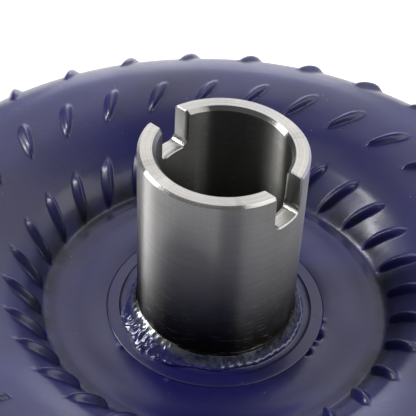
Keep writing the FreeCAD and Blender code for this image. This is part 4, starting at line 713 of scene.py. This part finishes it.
def painted_weld(name, ripple_length):
    """Enamel over a weld bead: ripples of the given length in millimetres follow one another round
    the axis as crescents, broken up by lumps of spatter."""
    material = new_material(name)
    tree = material.node_tree
    place = add_node(tree, "TexCoord").outputs["Object"]
    parts = add_node(tree, "SeparateXYZ", {0: place})
    around = add_node(tree, "Math", {0: parts.outputs[1], 1: parts.outputs[0]}, operation="ARCTAN2")
    warp = add_node(tree, "TexNoise", {"Vector": place, "Scale": 1 / (4 * MM), "Detail": 3.0})
    length = add_node(tree, "Math", {0: around.outputs[0], 1: shell_radius}, operation="MULTIPLY")
    bent = add_node(tree, "Math", {0: warp.outputs[0], 1: 2.5, 2: length.outputs[0]},
                    operation="MULTIPLY_ADD")
    phase = add_node(tree, "Math", {0: bent.outputs[0], 1: 2 * math.pi / ripple_length},
                     operation="MULTIPLY")
    ripple = add_node(tree, "Math", {0: phase.outputs[0]}, operation="SINE")
    spatter = add_node(tree, "TexNoise", {"Vector": place, "Scale": 1 / (1.1 * MM), "Detail": 3.0})
    relief = add_node(tree, "Math", {0: spatter.outputs[0], 1: 1.6, 2: ripple.outputs[0]},
                      operation="MULTIPLY_ADD")
    cloud = add_node(tree, "TexNoise", {"Vector": place, "Scale": 1 / (18 * MM), "Detail": 4.0})
    tone = add_node(tree, "Mix", {0: cloud.outputs[0], 6: linear("#1D1B60"), 7: linear("#121045")},
                    data_type="RGBA")
    thin = add_node(tree, "MapRange", {0: spatter.outputs[0], 1: 0.62, 2: 0.75, 3: 0.0, 4: 0.35})
    colour = add_node(tree, "Mix", {0: thin.outputs[0], 6: tone.outputs[2], 7: linear("#3A3850")},
                      data_type="RGBA")
    matt = add_node(tree, "MapRange", {0: warp.outputs[0], 1: 0.3, 2: 0.7, 3: 0.28, 4: 0.45})
    bump = add_node(tree, "Bump", {"Height": relief.outputs[0], "Strength": 0.6, "Distance": 0.18 * MM})
    shader = add_node(tree, "BsdfPrincipled", {
        "Base Color": colour.outputs[2], "Roughness": matt.outputs[0], "IOR": 1.5, "Coat Weight": 0.55,
        "Coat Roughness": 0.2, "Normal": bump.outputs[0], "Coat Normal": bump.outputs[0]})
    add_node(tree, "OutputMaterial", {0: shader.outputs[0]})
    return material


give(painted_weld("seam_weld_enamel", 2.4), "seam_weld")
give(painted_weld("pad_weld_enamel", 1.8), "pad_welds")

# ---------------------------------------------------------------- crank pilot and its weld
# A short turned boss that centres the converter in the crankshaft, with the weld that holds it to
# the cover. Both are masked off when the housing is painted.

# Bright turned steel that mirrors light in rings, and darker, scaly weld metal.
give(bare_steel("turned_pilot_steel", "#B5B3AD", "#8F8D88", 0.34, 0.7), "crank_pilot")
give(rough_steel("pilot_weld_metal", "#8B8984", "#55524E", 0.8, 0.34, stain="#3B3246", relief=0.16),
     "pilot_weld")

# ---------------------------------------------------------------- drain plug
# A threaded plug of zinc-plated steel with a six-sided socket, yellowed by its chromate dip.

give(rough_steel("plated_plug_steel", "#B8B092", "#8E8560", 1.6, 0.3, stain="#6E5B2C", relief=0.01),
     "drain_plug")

# ---------------------------------------------------------------- turbine
# Thin pressed shell, vanes and core ring, brazed together, riveted to a turned and splined hub. The
# rivets are bright where their heads were formed.

give(rough_steel("pressed_turbine_steel", "#A49D92", "#736D64", 1.1, 0.38, stain="#6A4B2C", relief=0.02),
     "turbine_shell", "turbine_vanes", "turbine_core_ring")
give(bare_steel("turned_turbine_hub_steel", "#A3A19C", "#7E7C78", 0.3, 0.7), "turbine_hub")
give(rough_steel("rivet_steel", "#BDBAB3", "#8D8A84", 0.8, 0.28, relief=0.01), "turbine_rivets")

# ---------------------------------------------------------------- stator wheel
# One casting of aluminium alloy, vanes and all. Its skin has the fine grain of the mould. Its bore and
# faces, only slightly brighter on the real part, share that one material.

give(rough_steel("cast_aluminium", "#BDBFC1", "#94979A", 0.6, 0.46, stain="#5C5344", stain_share=0.2,
                 relief=0.07), "stator_wheel")

# ---------------------------------------------------------------- one-way clutch
# Hardened and ground races, with rollers held in the ramps by folded springs of thin strip. Caps
# and snap rings keep them in the stator.

# Hardened steel is dark and sharp, rollers are almost mirrors, and springs are blued.
hardened = bare_steel("hardened_race_steel", "#8F8D8A", "#6E6C6A", 0.25, 0.7)
give(hardened, "clutch_cam", "clutch_inner_race")
give(rough_steel("roller_steel", "#CFCFCE", "#AEAEAD", 2.0, 0.16, stain_share=0.1, relief=0.004),
     "clutch_rollers")
give(rough_steel("spring_strip", "#7F86A0", "#58607C", 1.5, 0.26, stain="#6A4B2C", relief=0.004),
     "clutch_springs")
give(rough_steel("phosphated_cap_steel", "#6C6B68", "#4D4C4A", 0.5, 0.48, relief=0.02),
     "stator_front_cap", "stator_rear_cap")
give(rough_steel("snap_ring_steel", "#4F4E4D", "#363534", 0.8, 0.34, relief=0.01),
     "stator_front_snap_ring", "stator_rear_snap_ring")

# ---------------------------------------------------------------- thrust washer and bearings
# A bronze washer carries the turbine against the cover. Needle bearings with races and cages of
# pressed steel stand on both sides of the stator.

give(rough_steel("bronze", "#B98A4E", "#8C6233", 1.3, 0.32, stain="#4A2F1A", relief=0.01),
     "front_thrust_washer")
give(bare_steel("bearing_race_steel", "#BFBEBB", "#989794", 0.26, 0.7),
     "rear_bearing_pump_race", "rear_bearing_stator_race",
     "middle_bearing_turbine_race", "middle_bearing_stator_race")
give(rough_steel("cage_steel", "#8D8A86", "#65625F", 1.0, 0.36, relief=0.01),
     "rear_bearing_cage", "middle_bearing_cage")
give(rough_steel("needle_steel", "#D2D2D1", "#B2B2B1", 2.0, 0.14, stain_share=0.1, relief=0.004),
     "rear_bearing_needles", "middle_bearing_needles")

# ---------------------------------------------------------------- floor, light and camera
# A white table under the converter. Soft light comes from a low sky on the far side, and boxes and
# strips of light beside the camera draw the streaks on the hub.

floor_mesh = bpy.data.meshes.new("studio_floor")
floor_half = 4.0
floor_corners = [(x * floor_half, y * floor_half, 0) for x, y in ((-1, -1), (1, -1), (1, 1), (-1, 1))]
floor_mesh.from_pydata(floor_corners, [], [(0, 1, 2, 3)])
floor = bpy.data.objects.new("studio_floor", floor_mesh)
bpy.context.scene.collection.objects.link(floor)
white = new_material("white_table")
table_place = add_node(white.node_tree, "TexCoord").outputs["Object"]
table_cloud = add_node(white.node_tree, "TexNoise", {"Vector": table_place, "Scale": 1 / (60 * MM),
                                                     "Detail": 4.0})
table_tone = add_node(white.node_tree, "Mix", {0: table_cloud.outputs[0], 6: linear("#F4F4F4"),
                                               7: linear("#FAFAFA")}, data_type="RGBA")
table_shader = add_node(white.node_tree, "BsdfPrincipled", {
    "Base Color": table_tone.outputs[2], "Roughness": 0.7, "Emission Color": (1, 1, 1, 1),
    "Emission Strength": 0.5})
add_node(white.node_tree, "OutputMaterial", {0: table_shader.outputs[0]})
floor_mesh.materials.append(white)

camera_azimuth = math.radians(39.6)
camera_height = math.radians(42.18)
camera_roll = 0.0495445                 # radians about the line of sight
camera_distance = 0.37553
camera_aside = -0.003634                # metres to the right of the aim
camera_above = 0.028759
camera_back = Vector((math.sin(camera_azimuth) * math.cos(camera_height),
                      -math.cos(camera_azimuth) * math.cos(camera_height), math.sin(camera_height)))
camera_right = Vector((math.cos(camera_azimuth), math.sin(camera_azimuth), 0))
camera_up = camera_back.cross(camera_right)
camera_place = (Vector((0, 0, FLANGE * MM)) + camera_back * camera_distance
                + camera_right * camera_aside + camera_up * camera_above)
rolled_right = camera_right * math.cos(camera_roll) + camera_up * math.sin(camera_roll)
rolled_up = camera_up * math.cos(camera_roll) - camera_right * math.sin(camera_roll)
camera = bpy.data.objects.new("camera", bpy.data.cameras.new("camera"))
bpy.context.scene.collection.objects.link(camera)
camera.matrix_world = Matrix.Translation(camera_place) @ Matrix(
    (rolled_right, rolled_up, camera_back)).transposed().to_4x4()
camera.data.lens = 106.4
camera.data.sensor_width = 36.0
bpy.context.scene.camera = camera

# Sky of the studio: bright on the far side up to steep angles, dim overhead and behind the camera.
# Close to the horizon it is bluer and less bright, and a low box of light makes up for that.
world = bpy.data.worlds.new("studio")
bpy.context.scene.world = world
world.use_nodes = True
sky = world.node_tree
sky.nodes.clear()
gaze = add_node(sky, "TexCoord").outputs["Generated"]
height_part = add_node(sky, "SeparateXYZ", {0: gaze})
glow_heading = camera_azimuth + math.pi / 2 - math.radians(24)
away_side = (math.cos(glow_heading), math.sin(glow_heading), 0)
level_gaze = add_node(sky, "VectorMath", {0: gaze, 1: (1, 1, 0)}, operation="MULTIPLY")
compass = add_node(sky, "VectorMath", {0: level_gaze.outputs[0]}, operation="NORMALIZE")
facing = add_node(sky, "VectorMath", {0: compass.outputs[0], 1: away_side}, operation="DOT_PRODUCT")
low_sky = add_node(sky, "MapRange", {0: height_part.outputs[2], 1: 0.79, 2: 0.93, 3: 1.0, 4: 0.0},
                   interpolation_type="SMOOTHSTEP")
far_sky = add_node(sky, "MapRange", {0: facing.outputs["Value"], 1: 0.45, 2: 0.85, 3: 0.1, 4: 1.0},
                   interpolation_type="SMOOTHSTEP")
horizon = add_node(sky, "MapRange", {0: height_part.outputs[2], 1: 0.1, 2: 0.45, 3: 0.4, 4: 1.0})
band = add_node(sky, "Math", {0: low_sky.outputs[0], 1: horizon.outputs[0]}, operation="MULTIPLY")
glow = add_node(sky, "Math", {0: band.outputs[0], 1: far_sky.outputs[0]}, operation="MULTIPLY")
level = add_node(sky, "MapRange", {0: glow.outputs[0], 3: 0.05, 4: 1.2})
low_share = add_node(sky, "MapRange", {0: height_part.outputs[2], 1: 0.35, 2: 0.6, 3: 1.0, 4: 0.0})
sky_tone = add_node(sky, "Mix", {0: low_share.outputs[0], 6: (1.0, 0.98, 0.95, 1), 7: (0.85, 0.9, 1.3, 1)},
                    data_type="RGBA")
background = add_node(sky, "Background", {"Color": sky_tone.outputs[2], "Strength": level.outputs[0]})
add_node(sky, "OutputWorld", {0: background.outputs[0]})


def soft_box(name, turn, height, distance, width, tall, power):
    """A rectangular light: turn is its azimuth from the camera's in degrees, positive to the
    camera's right, height its angle above the floor. It faces the middle of the ring under the hub."""
    light = bpy.data.lights.new(name, "AREA")
    light.shape = "RECTANGLE"
    light.size = width
    light.size_y = tall
    light.energy = power
    lamp = bpy.data.objects.new(name, light)
    bpy.context.scene.collection.objects.link(lamp)
    heading = camera_azimuth - math.pi / 2 + math.radians(turn)
    rise = math.radians(height)
    level_part = math.cos(rise)
    towards = Vector((math.cos(heading) * level_part, math.sin(heading) * level_part, math.sin(rise)))
    lamp.location = Vector((0, 0, FLANGE * MM)) + towards * distance
    lamp.rotation_euler = towards.to_track_quat("Z", "Y").to_euler()
    lamp.visible_camera = False
    return lamp


# Sizes and distances in metres, power in watts. The first draws the bright streak at the hub's left
# and in its bore, the second lights the right-hand slope of the dish.
soft_box("left_strip", -103, 36, 0.9, 0.11, 0.75, 4.2)
soft_box("left_box", -98, 28, 0.9, 0.3, 0.28, 1.1)
# These light the hub's front. The lowest reaches only its upper part, past the shell's crest.
soft_box("front_left_low_box", -38, -15, 0.3, 0.45, 0.06, 0.35)
soft_box("front_left_box", -40, 4, 1.0, 1.6, 0.14, 0.3)
soft_box("front_strip", 30, 20, 1.0, 0.06, 0.6, 0.12)
soft_box("front_right_box", 72, 40, 1.0, 1.2, 0.42, 3.4)
# The far sheen on the crest, and a soft fill from above.
soft_box("far_low_box", 182, 10, 1.2, 0.62, 0.5, 1.5)
soft_box("overhead_left_box", -120, 74, 1.0, 0.4, 0.4, 0.4)

bpy.context.scene.view_settings.view_transform = "Standard"
